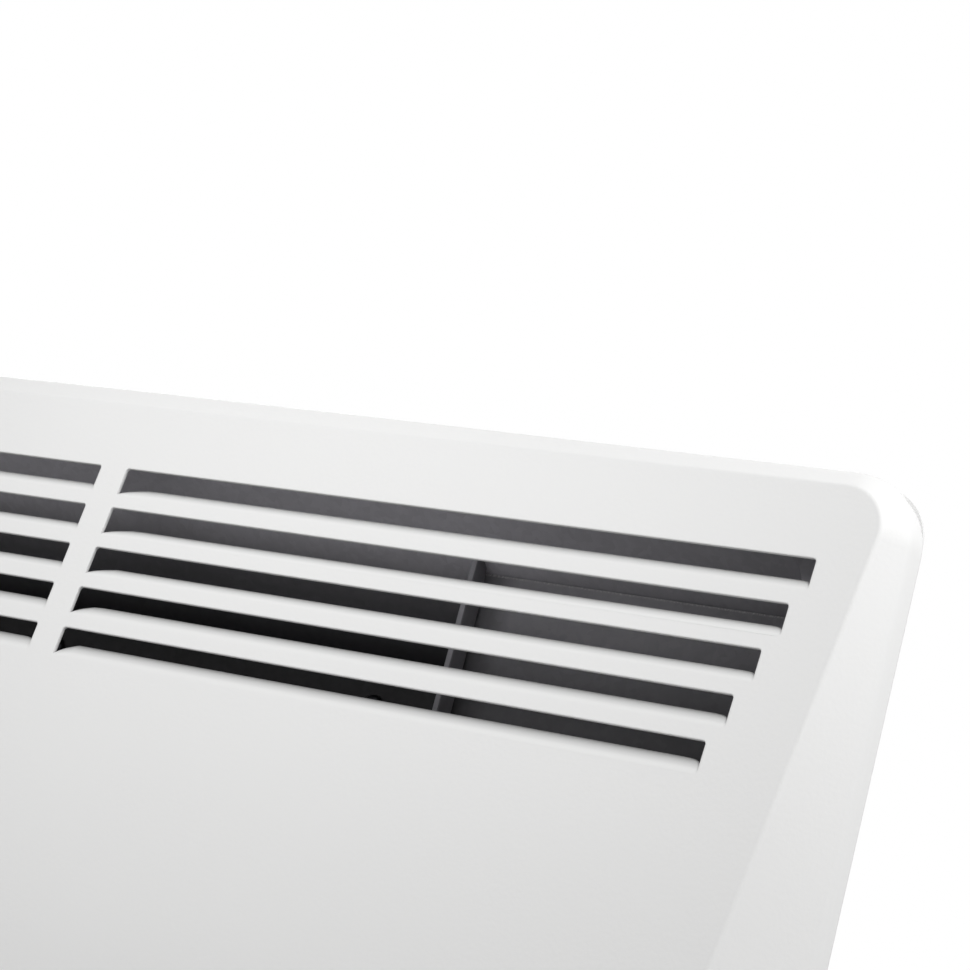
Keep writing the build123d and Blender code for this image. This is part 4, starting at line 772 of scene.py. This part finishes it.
def cut_across(work, faces, normal, level):
    """Cuts faces of an open mesh along the plane at a level of an axis."""
    edges = dict.fromkeys(edge for face in faces for edge in face.edges)
    verts = dict.fromkeys(vert for face in faces for vert in face.verts)
    bmesh.ops.bisect_plane(work, geom=[*faces, *edges, *verts], dist=CUT_NEARNESS,
                           plane_co=Vector(normal) * level, plane_no=normal)


def mark_sharp(work, limit):
    """Smooth faces with sharp edges past a limit, in degrees."""
    for face in work.faces:
        face.smooth = True
    for edge in work.edges:
        edge.smooth = len(edge.link_faces) == 2 and edge.calc_face_angle(0.0) < math.radians(limit)


def merged_copy(node, name):
    """A CAD node's mesh with its corners joined and its flat areas made whole faces."""
    piece = add_object(name)
    with edited(NODES[node].data, piece.data) as work:
        bmesh.ops.remove_doubles(work, verts=work.verts, dist=CORNER_NEARNESS)
        bmesh.ops.dissolve_degenerate(work, edges=work.edges, dist=CORNER_NEARNESS / 2)
        bmesh.ops.dissolve_limit(work, angle_limit=math.radians(0.4), verts=work.verts,
                                 edges=work.edges)
        mark_sharp(work, 35.0)
    return piece


def plain_mesh(piece, **options):
    """The mesh of an object after its modifiers."""
    graph = bpy.context.evaluated_depsgraph_get()
    return bpy.data.meshes.new_from_object(piece.evaluated_get(graph), depsgraph=graph, **options)


def apply_modifiers(piece):
    """The piece's evaluated mesh kept as a plain mesh."""
    mesh = plain_mesh(piece, preserve_all_data_layers=True)
    piece.modifiers.clear()
    piece.data = mesh


def soften(piece, width, angle=40.0):
    """Small rounded edges and even shading on a sheet or moulded piece."""
    rounding = piece.modifiers.new("rounded edges", "BEVEL")
    rounding.width = width
    rounding.segments = 2
    rounding.limit_method = "ANGLE"
    rounding.angle_limit = math.radians(angle)
    rounding.harden_normals = True
    rounding.use_clamp_overlap = True
    even = piece.modifiers.new("even shading", "WEIGHTED_NORMAL")
    even.keep_sharp = True
    apply_modifiers(piece)


def give_finish(piece, finish):
    """Gives an object one material."""
    piece.data.materials.clear()
    piece.data.materials.append(finish)


def stand_for(piece, node):
    """The piece takes the finish, place and body of a CAD node."""
    give_finish(piece, finish_for(node))
    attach(piece, BODY_OF[node])
    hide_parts(node)


def dress(width, angle=40.0, **names):
    """Finer copies of CAD nodes, with rounded edges, in the nodes' places; gives the last."""
    for node, name in names.items():
        piece = merged_copy(node, name)
        soften(piece, width, angle)
        stand_for(piece, node)
    return piece


# ---------------------------------------------------------------- cover and sheets

def louvre_place(spot):
    """Which row a spot of the cover is in, and its height and depth on that row's rolled lip."""
    offset = spot - GRILLE_TOP
    down = offset.dot(FACE_DOWN)
    row = math.floor(down / SLOT_PITCH)
    return row, SLOT_OPENING - (down - row * SLOT_PITCH), offset.dot(FACE_INWARD)


def slot_end(row):
    """The X at which the right half's slot of a row ends."""
    return FIRST_SLOT_X + SLOT_LENGTH - row * ROW_TAPER


def slot_span(spot):
    """The X of the left and right ends of the slot that a spot lies in."""
    end = slot_end(louvre_place(spot)[0])
    return (FIRST_SLOT_X, end) if spot.x > 0 else (-end, -FIRST_SLOT_X)


def on_roll(spot):
    """Whether a spot is on a rolled lip."""
    row, height, depth = louvre_place(spot)
    return row in ROWS and 0.00001 < height < LIP_HEIGHT and 0.00002 < depth < LIP_REACH


def by_roll(spot, margin=0.0001):
    """Whether a spot is on a rolled lip, its tangent line or the slot's lower corners."""
    row, height, depth = louvre_place(spot)
    left, right = slot_span(spot)
    return (row in ROWS and -margin < height < LIP_HEIGHT and -margin < depth < LIP_REACH
            and left - margin < spot.x < right + margin)


def shape_louvres(piece):
    """Gives the rolled lips each row's height, a lower start and rising ends."""
    with edited(piece.data) as work:
        for step in LIP_CUTS:
            for start in (FIRST_SLOT_X, *(-slot_end(row) for row in ROWS)):
                faces = [face for face in work.faces if on_roll(face.calc_center_median())
                         and abs(slot_span(face.calc_center_median())[0] - start) < 1e-6]
                cut_across(work, faces, RIGHTWARD, start + step)
        for vert in work.verts:
            if by_roll(vert.co):
                row, height, _ = louvre_place(vert.co)
                along = max(LIP_RISE_START, vert.co.x - slot_span(vert.co)[0])
                share = LIP_SHARES[row] * min(1.0, along / LIP_RISES[row]) ** LIP_RISE_POWER
                drop = LIP_DROP * (1.0 - min(1.0, height / LIP_DEPTH))
                vert.co -= FACE_DOWN * (height * (share - 1.0) - drop)


def crown_top(piece, margin=0.0001):
    """Gives the cover's top wall a slight crown."""
    with edited(piece.data) as work:
        for step in range(-7, 8):
            level = step * CROWN_STEP
            faces = [face for face in work.faces
                     if max(vert.co.z for vert in face.verts) > TOP_WALL
                     and min(vert.co.x for vert in face.verts) < level - margin
                     and max(vert.co.x for vert in face.verts) > level + margin]
            cut_across(work, faces, RIGHTWARD, level)
        for vert in work.verts:
            if vert.co.z > TOP_WALL:
                fall = CROWN_FALL * (abs(vert.co.x) / CROWN_HALF) ** CROWN_POWER
                vert.co.z += CROWN_RISE - fall


def set_rib(piece):
    """Sets the partition's front rib to the right, with a hem that flares towards the lid,
    and takes it up to under the deflector."""
    with edited(piece.data) as work:
        for normal, level in RIB_CUTS:
            cut_across(work, work.faces, normal, level)
        for vert in work.verts:
            ahead = RIB_ROOT - vert.co.y
            if ahead > RIB_CORNER:
                if vert.co.x > RIB_SIDE:
                    above = min(FLARE_SPAN, max(0.0, vert.co.z - FLARE_LEVEL))
                    flare = RIB_FLARE - FLARE_SLOPE * above
                    share = min(1.0, (ahead - RIB_BEND) / RIB_DEPTH)
                    vert.co.x += flare + share * (RIB_HEM - flare)
                vert.co.x += RIB_SHIFT
            if ahead > -0.0001 and vert.co.z > RIB_TOP:
                vert.co.z += RIB_LIFT + RIB_RISE * ahead


def bare_inner_faces(shell):
    """Gives the faces that look into the chassis the unpainted finish, which is darker deeper
    inside as painted shade.
    """
    low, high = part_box("rear_chassis")
    room_low = (-ROOM_HALF, low.y + ROOM_FRONT, ROOM_BOTTOM)
    room_high = (ROOM_HALF, high.y - ROOM_BACK, ROOM_TOP)
    shell.data.materials.append(finish_of("chassis_inside"))
    for face in shell.data.polygons:
        nearest = Vector(max(small, min(large, value)) for small, large, value in
                         zip(room_low, room_high, face.center))
        hidden = face.center.y < low.y + 0.0001 and face.normal.y < -0.5
        behind = face.center.y < low.y + ROOM_FRONT and face.normal.y > 0.5
        if hidden or (face.normal.dot(nearest - face.center) > 0.0 and not behind):
            face.material_index = 1


class HEATER_OT_front_cover(bpy.types.Operator):
    """Dress the pressed front cover with its louvred grille"""
    bl_idname = "heater.front_cover"
    bl_label = "Front cover"

    def execute(self, context):
        panel = merged_copy("front_cover", "cover_panel")
        shape_louvres(panel)
        crown_top(panel)
        soften(panel, sizes().grille_edge, 50.0)
        stand_for(panel, "front_cover")
        return {"FINISHED"}


class HEATER_OT_chassis(bpy.types.Operator):
    """Dress the rear chassis and its rubber buffers"""
    bl_idname = "heater.chassis"
    bl_label = "Rear chassis"

    def execute(self, context):
        bare_inner_faces(dress(sizes().sheet_edge, 50.0, rear_chassis="chassis_shell"))
        dress(BUFFER_EDGE, rear_buffers="wall_buffers")
        return {"FINISHED"}


class HEATER_OT_bracket(bpy.types.Operator):
    """Dress the wall bracket, its latches and their rivets"""
    bl_idname = "heater.bracket"
    bl_label = "Wall bracket and latches"

    def execute(self, context):
        dress(sizes().sheet_edge, wall_bracket="bracket_frame",
              bracket_latch_left="left_latch", bracket_latch_right="right_latch")
        dress(RIVET_EDGE, latch_rivets="rivet_pair")
        return {"FINISHED"}


class HEATER_OT_inner_sheets(bpy.types.Operator):
    """Dress the sheets behind the grille"""
    bl_idname = "heater.inner_sheets"
    bl_label = "Inner sheets"

    def execute(self, context):
        edge = sizes().sheet_edge
        dress(edge, 50.0, air_deflector="deflector_sheet")
        partition = merged_copy("partition_wall", "partition_sheet")
        set_rib(partition)
        soften(partition, edge, 50.0)
        stand_for(partition, "partition_wall")
        dress(edge, 50.0, control_chamber_lid="lid_sheet", heat_reflector="heat_reflector_sheet",
              element_bracket_left="element_bracket_left_sheet",
              element_bracket_right="element_bracket_right_sheet",
              cutout_bracket="cutout_bracket_sheet")
        return {"FINISHED"}


class HEATER_OT_element(bpy.types.Operator):
    """Dress the finned heating element"""
    bl_idname = "heater.element"
    bl_label = "Heating element"

    def execute(self, context):
        dress(FIN_EDGE, heating_fins="finned_body", rod_bushes_left="left_bushes",
              rod_bushes_right="right_bushes")
        dress(SMALL_EDGE, rod_link="pin_link")
        return {"FINISHED"}


# ---------------------------------------------------------------- geometry nodes

def finish_tree(tree, instances, finish, outside):
    """Ends a tree: real geometry with its material."""
    real = add_node(tree, "GeometryNodeRealizeInstances", instances)
    painted = add_node(tree, "GeometryNodeSetMaterial", Geometry=real.outputs[0], Material=finish)
    feed(tree, painted.outputs[0], outside[0])
    return tree


def screws_tree(name):
    """Puts a screw on every point, turned to the point's facing and spun by chance."""
    tree, inside, outside = new_tree(
        "GeometryNodeTree", name, {"Geometry": "Geometry", "Screw": "Object", "Spin Seed": 7,
                                   "Finish": "Material"}, {"Geometry": "Geometry"})
    shape = add_node(tree, "GeometryNodeObjectInfo", Object=inside["Screw"])
    facing = add_node(tree, "GeometryNodeInputNamedAttribute", data_type="FLOAT_VECTOR",
                      Name="facing")
    aim = add_node(tree, "FunctionNodeAlignRotationToVector", axis="Z",
                   Vector=facing.outputs["Attribute"])
    chance = add_node(tree, "FunctionNodeRandomValue", data_type="FLOAT",
                      Seed=inside["Spin Seed"])
    least, most = chance.inputs[2:4]
    least.default_value, most.default_value = 0.0, math.pi
    spin = add_node(tree, "FunctionNodeAxisAngleToRotation", Axis=UPWARD,
                    Angle=chance.outputs[1])
    turned = add_node(tree, "FunctionNodeRotateRotation", rotation_space="LOCAL",
                      Rotation=aim.outputs["Rotation"], Rotate_By=spin.outputs["Rotation"])
    placed = add_node(tree, "GeometryNodeInstanceOnPoints", Points=inside["Geometry"],
                      Instance=shape.outputs["Geometry"], Rotation=turned.outputs["Rotation"])
    return finish_tree(tree, placed.outputs[0], inside["Finish"], outside)


def ring_tree(name):
    """Small bars at even steps round a ring, each pointing to the ring's middle."""
    tree, inside, outside = new_tree(
        "GeometryNodeTree", name,
        {"Geometry": "Geometry", "Count": 24, "Radius": 0.01, "First Angle": 0.0,
         "Step": 0.2618, "Bar Size": (0.001, 0.001, 0.001), "Middle": (0.0, 0.0, 0.0),
         "Ring Turn": (0.0, 0.0, 0.0), "Finish": "Material"}, {"Geometry": "Geometry"})
    index = tree.nodes.new("GeometryNodeInputIndex").outputs[0]
    angle = maths(tree, "ADD", maths(tree, "MULTIPLY", index, inside["Step"]),
                  inside["First Angle"])
    across, along = (maths(tree, "MULTIPLY", maths(tree, wave, angle), inside["Radius"])
                     for wave in ("COSINE", "SINE"))
    spot = add_node(tree, "ShaderNodeCombineXYZ", across, along)
    points = add_node(tree, "GeometryNodePoints", Count=inside["Count"],
                      Position=spot.outputs[0])
    turn = add_node(tree, "ShaderNodeCombineXYZ", Z=angle)
    bar = add_node(tree, "GeometryNodeMeshCube", Size=inside["Bar Size"])
    placed = add_node(tree, "GeometryNodeInstanceOnPoints", Points=points.outputs[0],
                      Instance=bar.outputs["Mesh"], Rotation=turn.outputs[0])
    moved = add_node(tree, "GeometryNodeTransform", Geometry=placed.outputs[0],
                     Translation=inside["Middle"], Rotation=inside["Ring Turn"])
    return finish_tree(tree, moved.outputs[0], inside["Finish"], outside)


TREE_MAKERS = {"Screws on seats": screws_tree, "Bars round a ring": ring_tree}


def grow(piece, tree_name, **values):
    """Runs a geometry tree on a piece and keeps the result as its plain mesh."""
    tree = bpy.data.node_groups.get(tree_name) or TREE_MAKERS[tree_name](tree_name)
    tree.is_modifier = True
    modifier = piece.modifiers.new(tree_name, "NODES")
    modifier.node_group = tree
    identifiers = {item.name: item.identifier for item in tree.interface.items_tree
                   if item.in_out == "INPUT"}
    for label, value in values.items():
        modifier[identifiers[label.replace("_", " ")]] = value
    apply_modifiers(piece)


# ---------------------------------------------------------------- screws

def solids_of(node):
    """The corners of each separate solid in a CAD node, in the same order on every run."""
    work = bmesh.new()
    work.from_mesh(NODES[node].data)
    bmesh.ops.remove_doubles(work, verts=work.verts, dist=CORNER_NEARNESS)
    left = dict.fromkeys(work.verts)
    solids = []
    while left:
        front = [left.popitem()[0]]
        solid = []
        while front:
            vert = front.pop()
            solid.append(vert.co.copy())
            for edge in vert.link_edges:
                other = edge.other_vert(vert)
                if other in left:
                    del left[other]
                    front.append(other)
        solids.append(solid)
    work.free()
    return solids


def revolved(name, profile, steps):
    """A closed solid turned about Z from (radius, height) points that begin and end on it."""
    piece = add_object(name)
    turns = [2 * math.pi * step / steps for step in range(steps)]
    with edited(piece.data) as work:
        rings = [[work.verts.new((radius * math.cos(turn), radius * math.sin(turn), height))
                  for turn in (turns if radius else turns[:1])] for radius, height in profile]
        for upper, lower in zip(rings, rings[1:]):
            for step in range(steps):
                corners = [(upper, step), (lower, step), (lower, step + 1), (upper, step + 1)]
                # A ring of one corner gives it twice, and the face is then a triangle
                corners = dict.fromkeys(ring[place % len(ring)] for ring, place in corners)
                work.faces.new(list(corners))
        bmesh.ops.recalc_face_normals(work, faces=work.faces)
        mark_sharp(work, 40.0)
    return piece


def recess_punch():
    """The form that is cut out of a screw's head."""
    punch = add_object("punch")
    width, depth = sizes().screw_recess_width, sizes().screw_recess_depth
    with edited(punch.data) as work:
        for turn in (0.0, math.pi / 2):
            arm = bmesh.ops.create_cube(work, size=1.0)["verts"]
            for vert in arm:
                top = vert.co.z > 0
                taper = 1.0 if top else RECESS_TAPER
                vert.co = (vert.co.x * width * taper, vert.co.y * RECESS_ARM * taper,
                           HEAD_HEIGHT + (RECESS_ABOVE if top else -depth))
            bmesh.ops.rotate(work, verts=arm, cent=(0, 0, 0),
                             matrix=Matrix.Rotation(turn, 3, "Z"))
    return punch


def screw_shape(length):
    """One pan head screw with a cross recess and a threaded shank, standing on its seat."""
    profile = [(HEAD_RADIUS * out, HEAD_HEIGHT * up) for out, up in HEAD_PROFILE]
    for turn in range(int((length - PLAIN_SHANK) / THREAD_PITCH)):
        profile += [(THREAD_CORE, -THREAD_PITCH * (turn + 0.25)),
                    (THREAD_CREST, -THREAD_PITCH * (turn + 0.75))]
    profile += [(THREAD_CORE, -length + SCREW_TIP), (THREAD_CORE * 0.5, -length), (0.0, -length)]
    screw, punch = revolved("screw_shape", profile, SCREW_SIDES), recess_punch()
    cut = screw.modifiers.new("recess", "BOOLEAN")
    cut.operation = "DIFFERENCE"
    cut.solver = "EXACT"
    cut.use_self = True
    cut.object = punch
    apply_modifiers(screw)
    bpy.data.objects.remove(punch)
    return screw


def drive_screws(node):
    """Replaces a node's plain screws by detailed ones on the same seats."""
    facing = Vector(SCREW_FACINGS[node])
    spots = []
    for solid in solids_of(node):
        low, high = (Vector(end(corner[axis] for corner in solid) for axis in range(3))
                     for end in (min, max))
        reach = [corner.dot(facing) for corner in solid]
        length = max(reach) - min(reach) - HEAD_HEIGHT
        middle = (low + high) / 2
        spots.append(middle + facing * (max(reach) - HEAD_HEIGHT - middle.dot(facing)))
    piece = add_object(node + "_driven")
    piece.data.from_pydata(spots, [], [])
    for item in piece.data.attributes.new("facing", "FLOAT_VECTOR", "POINT").data:
        item.vector = facing
    shape = screw_shape(length)
    grow(piece, "Screws on seats", Screw=shape, Spin_Seed=len(piece.name),
         Finish=finish_for(node))
    bpy.data.objects.remove(shape)
    if "facing" in piece.data.attributes:
        piece.data.attributes.remove(piece.data.attributes["facing"])
    stand_for(piece, node)


class HEATER_OT_screws(bpy.types.Operator):
    """Drive a detailed screw into every seat"""
    bl_idname = "heater.screws"
    bl_label = "Screws"

    def execute(self, context):
        for node in SCREW_FACINGS:
            drive_screws(node)
        return {"FINISHED"}


# ---------------------------------------------------------------- controls

def surface_spot(node, y, z):
    """Where a line from the right meets a CAD node, and the surface's facing there."""
    data = NODES[node].data
    tree = BVHTree.FromPolygons([vert.co for vert in data.vertices],
                                [tuple(face.vertices) for face in data.polygons])
    place, facing, _, _ = tree.ray_cast(Vector((OUTSIDE_X, y, z)), Vector(LEFTWARD))
    if place is None:
        raise RuntimeError(f"nothing of {node} lies on the line at y {y} and z {z}")
    return place, facing


def ink_text(words, height):
    """Flat lettering as a mesh in the XY plane, centred on the origin."""
    curve = bpy.data.curves.new("ink", "FONT")
    curve.body = words
    curve.size = height * TYPE_SIZE
    curve.align_x = "CENTER"
    curve.align_y = "CENTER"
    curve.extrude = INK_THICKNESS
    maker = add_object("ink", curve)
    mesh = plain_mesh(maker)
    bpy.data.objects.remove(maker)
    return mesh


def on_side(mesh, place, facing, turn=0.0):
    """Turns a flat mesh so that it lies on a surface of the right side, reading from outside."""
    facing = Vector(facing)
    up = facing.cross(Vector(BACKWARD)).normalized()
    lay = Matrix((up.cross(facing).normalized(), up, facing)).transposed().to_4x4()
    mesh.transform(Matrix.Translation(place) @ lay @ Matrix.Rotation(turn, 4, "Z"))


def ink_piece(name, meshes, body, ink="dial_ink"):
    """Printed marks, joined to one piece that rides on a body."""
    piece = add_object(name)
    with edited(piece.data) as work:
        for mesh in meshes:
            work.from_mesh(mesh)
            bpy.data.meshes.remove(mesh)
        bmesh.ops.remove_doubles(work, verts=work.verts, dist=CUT_NEARNESS)
        bmesh.ops.recalc_face_normals(work, faces=work.faces)
    give_finish(piece, finish_of(ink))
    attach(piece, body)


def knob_marks():
    """Numbers and ticks on the knob's face, which turn past the index on the panel."""
    low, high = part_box("thermostat_shaft")
    middle = (low + high) / 2
    meshes = []
    for number in NUMBERS:
        angle = math.radians(NUMBER_STEP * number)
        place, _ = surface_spot("thermostat_knob", middle.y - math.sin(angle) * NUMBER_RING,
                                middle.z + math.cos(angle) * NUMBER_RING)
        meshes.append(ink_text(str(number), NUMBER_HEIGHT))
        on_side(meshes[-1], place, RIGHTWARD, angle)
    ink_piece("knob_numbers", meshes, "knob")
    ticks = add_object("knob_ticks")
    grow(ticks, "Bars round a ring", Count=sizes().dial_ticks, Radius=TICK_RING,
         First_Angle=math.radians(45.0),
         Step=math.radians(TICK_SWEEP) / (sizes().dial_ticks - 1), Bar_Size=TICK_SIZE,
         Middle=(place.x, middle.y, middle.z),
         Ring_Turn=(math.radians(90.0), 0.0, math.radians(90.0)), Finish=finish_of("dial_ink"))
    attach(ticks, "knob")


def panel_index():
    """Index line on the control panel above the knob."""
    low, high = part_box("thermostat_knob")
    place, facing = surface_spot("control_bezel", (low.y + high.y) / 2, high.z + INDEX_GAP)
    mesh = bpy.data.meshes.new("index")
    with edited(mesh) as work:
        bmesh.ops.create_cube(work, size=1.0, matrix=Matrix.Diagonal((*INDEX_SIZE, 1.0)))
    on_side(mesh, place, facing)
    ink_piece("panel_index", [mesh], BODY_OF["control_bezel"])


def rocker_marks(node, body):
    """The line and ring of a switch rocker."""
    low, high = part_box(node)
    middle = (low + high) / 2
    meshes = []
    for words, shift in ROCKER_MARKS:
        place, facing = surface_spot(node, middle.y, middle.z + shift)
        meshes.append(ink_text(words, ROCKER_MARK_HEIGHT))
        on_side(meshes[-1], place, facing)
    ink_piece(node + "_marks", meshes, body, "mark_ink")


class HEATER_OT_controls(bpy.types.Operator):
    """Dress the control panel, its knob, rockers and lens, and print their marks"""
    bl_idname = "heater.controls"
    bl_label = "Controls"

    def execute(self, context):
        edge = sizes().moulded_edge
        dress(edge, control_bezel="control_panel", thermostat_knob="knob_cap")
        dress(FINE_EDGE, thermostat_shaft="knob_spindle")
        dress(edge, indicator_lens="pilot_lens")
        for level in ("low", "high"):
            rocker = "switch_rocker_" + level
            dress(SMALL_EDGE, **{"switch_body_" + level: level + "_heat_switch"})
            dress(edge, **{rocker: level + "_heat_rocker_cap"})
            rocker_marks(rocker, BODY_OF[rocker])
        dress(edge, thermostat_body="thermostat_case")
        knob_marks()
        panel_index()
        return {"FINISHED"}


# ---------------------------------------------------------------- wiring and the rest

def gland_ribs():
    """Grip ribs round the cord gland's head."""
    low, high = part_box("cord_gland")
    middle = (low + high) / 2
    ribs = add_object("gland_ribs")
    grow(ribs, "Bars round a ring", Count=GLAND_RIBS, Radius=(high.x - low.x) / 2,
         First_Angle=0.0, Step=2 * math.pi / GLAND_RIBS, Bar_Size=GLAND_RIB_SIZE,
         Middle=(middle.x, middle.y, low.z + GLAND_RIB_LEVEL), Ring_Turn=(0.0, 0.0, 0.0),
         Finish=finish_of("black_plastic"))
    soften(ribs, GLAND_RIB_EDGE)
    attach(ribs, BODY_OF["cord_gland"])


class HEATER_OT_wiring(bpy.types.Operator):
    """Dress the cord inlet, the terminals and the parts on the leads"""
    bl_idname = "heater.wiring"
    bl_label = "Cord inlet and wiring"

    def execute(self, context):
        dress(SMALL_EDGE, cord_gland="inlet_gland")
        gland_ribs()
        dress(sizes().moulded_edge, gland_nut="inlet_nut", terminal_block="terminal_strip")
        dress(SMALL_EDGE, lead_grommet="partition_grommet", lead_clips="lead_saddles")
        dress(FINE_EDGE, bulb_clips="sensor_saddles")
        dress(SMALL_EDGE, thermal_cutout="heat_cutout")
        dress(FINE_EDGE, earth_stud="earth_terminal")
        return {"FINISHED"}


class HEATER_OT_remaining(bpy.types.Operator):
    """Give the remaining nodes their finishes"""
    bl_idname = "heater.remaining"
    bl_label = "Remaining nodes"

    def execute(self, context):
        for node, piece in NODES.items():
            if not piece.hide_render:
                give_finish(piece, finish_of(SLOT_OF[node]))
        return {"FINISHED"}


# ---------------------------------------------------------------- studio

def make_floor():
    """A large pale floor that fades to white away from the heater, unseen from below."""
    level = CAD_BOX[0].z - studio().floor_drop
    floor = add_object("studio_floor")
    with edited(floor.data) as work:
        bmesh.ops.create_grid(work, x_segments=1, y_segments=1, size=FLOOR_HALF,
                              matrix=Matrix.Translation((0.0, 0.0, level)))
    material, tree, shader = blank_material("floor white")
    seen = tree.nodes.new("ShaderNodeLightPath").outputs["Is Camera Ray"]
    spot = tree.nodes.new("ShaderNodeNewGeometry").outputs
    away = vector_maths(tree, "LENGTH", spot["Position"], result="Value")
    glow = remap(tree, away, *FLOOR_FADE, studio().floor_glow, 1.0)
    below = maths(tree, "MULTIPLY", seen, spot["Backfacing"])
    settle(tree, shader, Base_Color=(0.86, 0.86, 0.86), Roughness=0.9, Specular_IOR_Level=0.1,
           Emission_Color=WHITE, Emission_Strength=maths(tree, "MULTIPLY", seen, glow),
           Alpha=maths(tree, "SUBTRACT", 1.0, below))
    floor.data.materials.append(material)


def make_world():
    """Even white studio light that is pure white to the camera and in reflections."""
    world = bpy.data.worlds.new("studio")
    bpy.context.scene.world = world
    world.use_nodes = True
    tree = world.node_tree
    tree.nodes.clear()
    even, plain = (add_node(tree, "ShaderNodeBackground", Color=WHITE, Strength=level).outputs[0]
                   for level in (studio().world_level, 1.0))
    rays = tree.nodes.new("ShaderNodeLightPath").outputs
    seen = maths(tree, "MAXIMUM", rays["Is Camera Ray"], rays["Is Transmission Ray"])
    seen = maths(tree, "MAXIMUM", seen, rays["Is Glossy Ray"])
    chosen = add_node(tree, "ShaderNodeMixShader", seen, even, plain)
    add_node(tree, "ShaderNodeOutputWorld", Surface=chosen.outputs[0])


def add_lamp(name, place, target, size, power):
    """A square soft lamp aimed at a point."""
    data = bpy.data.lights.new(name, "AREA")
    data.shape = "SQUARE"
    data.size = size
    data.energy = power
    lamp = add_object(name, data)
    lamp.location = place
    lamp.visible_camera = False
    lamp.rotation_euler = (Vector(target) - Vector(place)).to_track_quat("-Z", "Y").to_euler()


def make_lamps():
    """A small lamp close in front, a soft one above the right side and one behind."""
    add_lamp("key_lamp", (0.019, -0.332, 0.269), (-0.05, -0.09, 0.17), 0.21, studio().key_power)
    add_lamp("side_lamp", (0.469, -0.17, 0.369), (0.2, -0.09, 0.1), 0.41, studio().fill_power)
    add_lamp("back_lamp", (-1.2, 0.9, 0.5), (0.0, -0.04, 0.0), 0.8, studio().back_power)


def make_camera():
    """The camera at the photograph's place and angle."""
    data = bpy.data.cameras.new("camera")
    data.lens = studio().camera_lens
    data.sensor_width = 36.0
    data.sensor_fit = "HORIZONTAL"
    data.clip_start = 0.01
    data.clip_end = 50.0
    camera = add_object("camera", data)
    camera.location = studio().camera_place
    camera.rotation_euler = studio().camera_turn
    bpy.context.scene.camera = camera
    bpy.context.scene.view_settings.view_transform = "Standard"


class HEATER_OT_stage(bpy.types.Operator):
    """Make the floor, the lamps and the camera"""
    bl_idname = "heater.stage"
    bl_label = "Studio"

    def execute(self, context):
        make_floor()
        make_world()
        make_lamps()
        make_camera()
        return {"FINISHED"}


class HEATER_PT_panel(bpy.types.Panel):
    """Heater tools in the sidebar"""
    bl_label = "Wall panel heater"
    bl_idname = "HEATER_PT_panel"
    bl_space_type = "VIEW_3D"
    bl_region_type = "UI"
    bl_category = "Heater"

    def draw(self, context):
        for operator in OPERATORS:
            self.layout.operator(operator.bl_idname)
        for group in (sizes(), colours(), studio()):
            for name in group.bl_rna.properties.keys():
                if name not in {"rna_type", "name"}:
                    self.layout.prop(group, name)


OPERATORS = (HEATER_OT_front_cover, HEATER_OT_chassis, HEATER_OT_bracket,
             HEATER_OT_inner_sheets, HEATER_OT_element, HEATER_OT_screws,
             HEATER_OT_controls, HEATER_OT_wiring, HEATER_OT_remaining, HEATER_OT_stage)
CLASSES = (HeaterSizes, HeaterColours, StudioSettings, *OPERATORS, HEATER_PT_panel)


def register():
    for cls in CLASSES:
        bpy.utils.register_class(cls)
    bpy.types.Scene.heater_sizes = PointerProperty(type=HeaterSizes)
    bpy.types.Scene.heater_colours = PointerProperty(type=HeaterColours)
    bpy.types.Scene.heater_studio = PointerProperty(type=StudioSettings)


def unregister():
    del bpy.types.Scene.heater_studio
    del bpy.types.Scene.heater_colours
    del bpy.types.Scene.heater_sizes
    for cls in reversed(CLASSES):
        bpy.utils.unregister_class(cls)


def main():
    """Runs every operator in order."""
    register()
    for operator in OPERATORS:
        group, name = operator.bl_idname.split(".")
        getattr(getattr(bpy.ops, group), name)()
    bpy.context.view_layer.update()


if __name__ == "__main__":
    main()
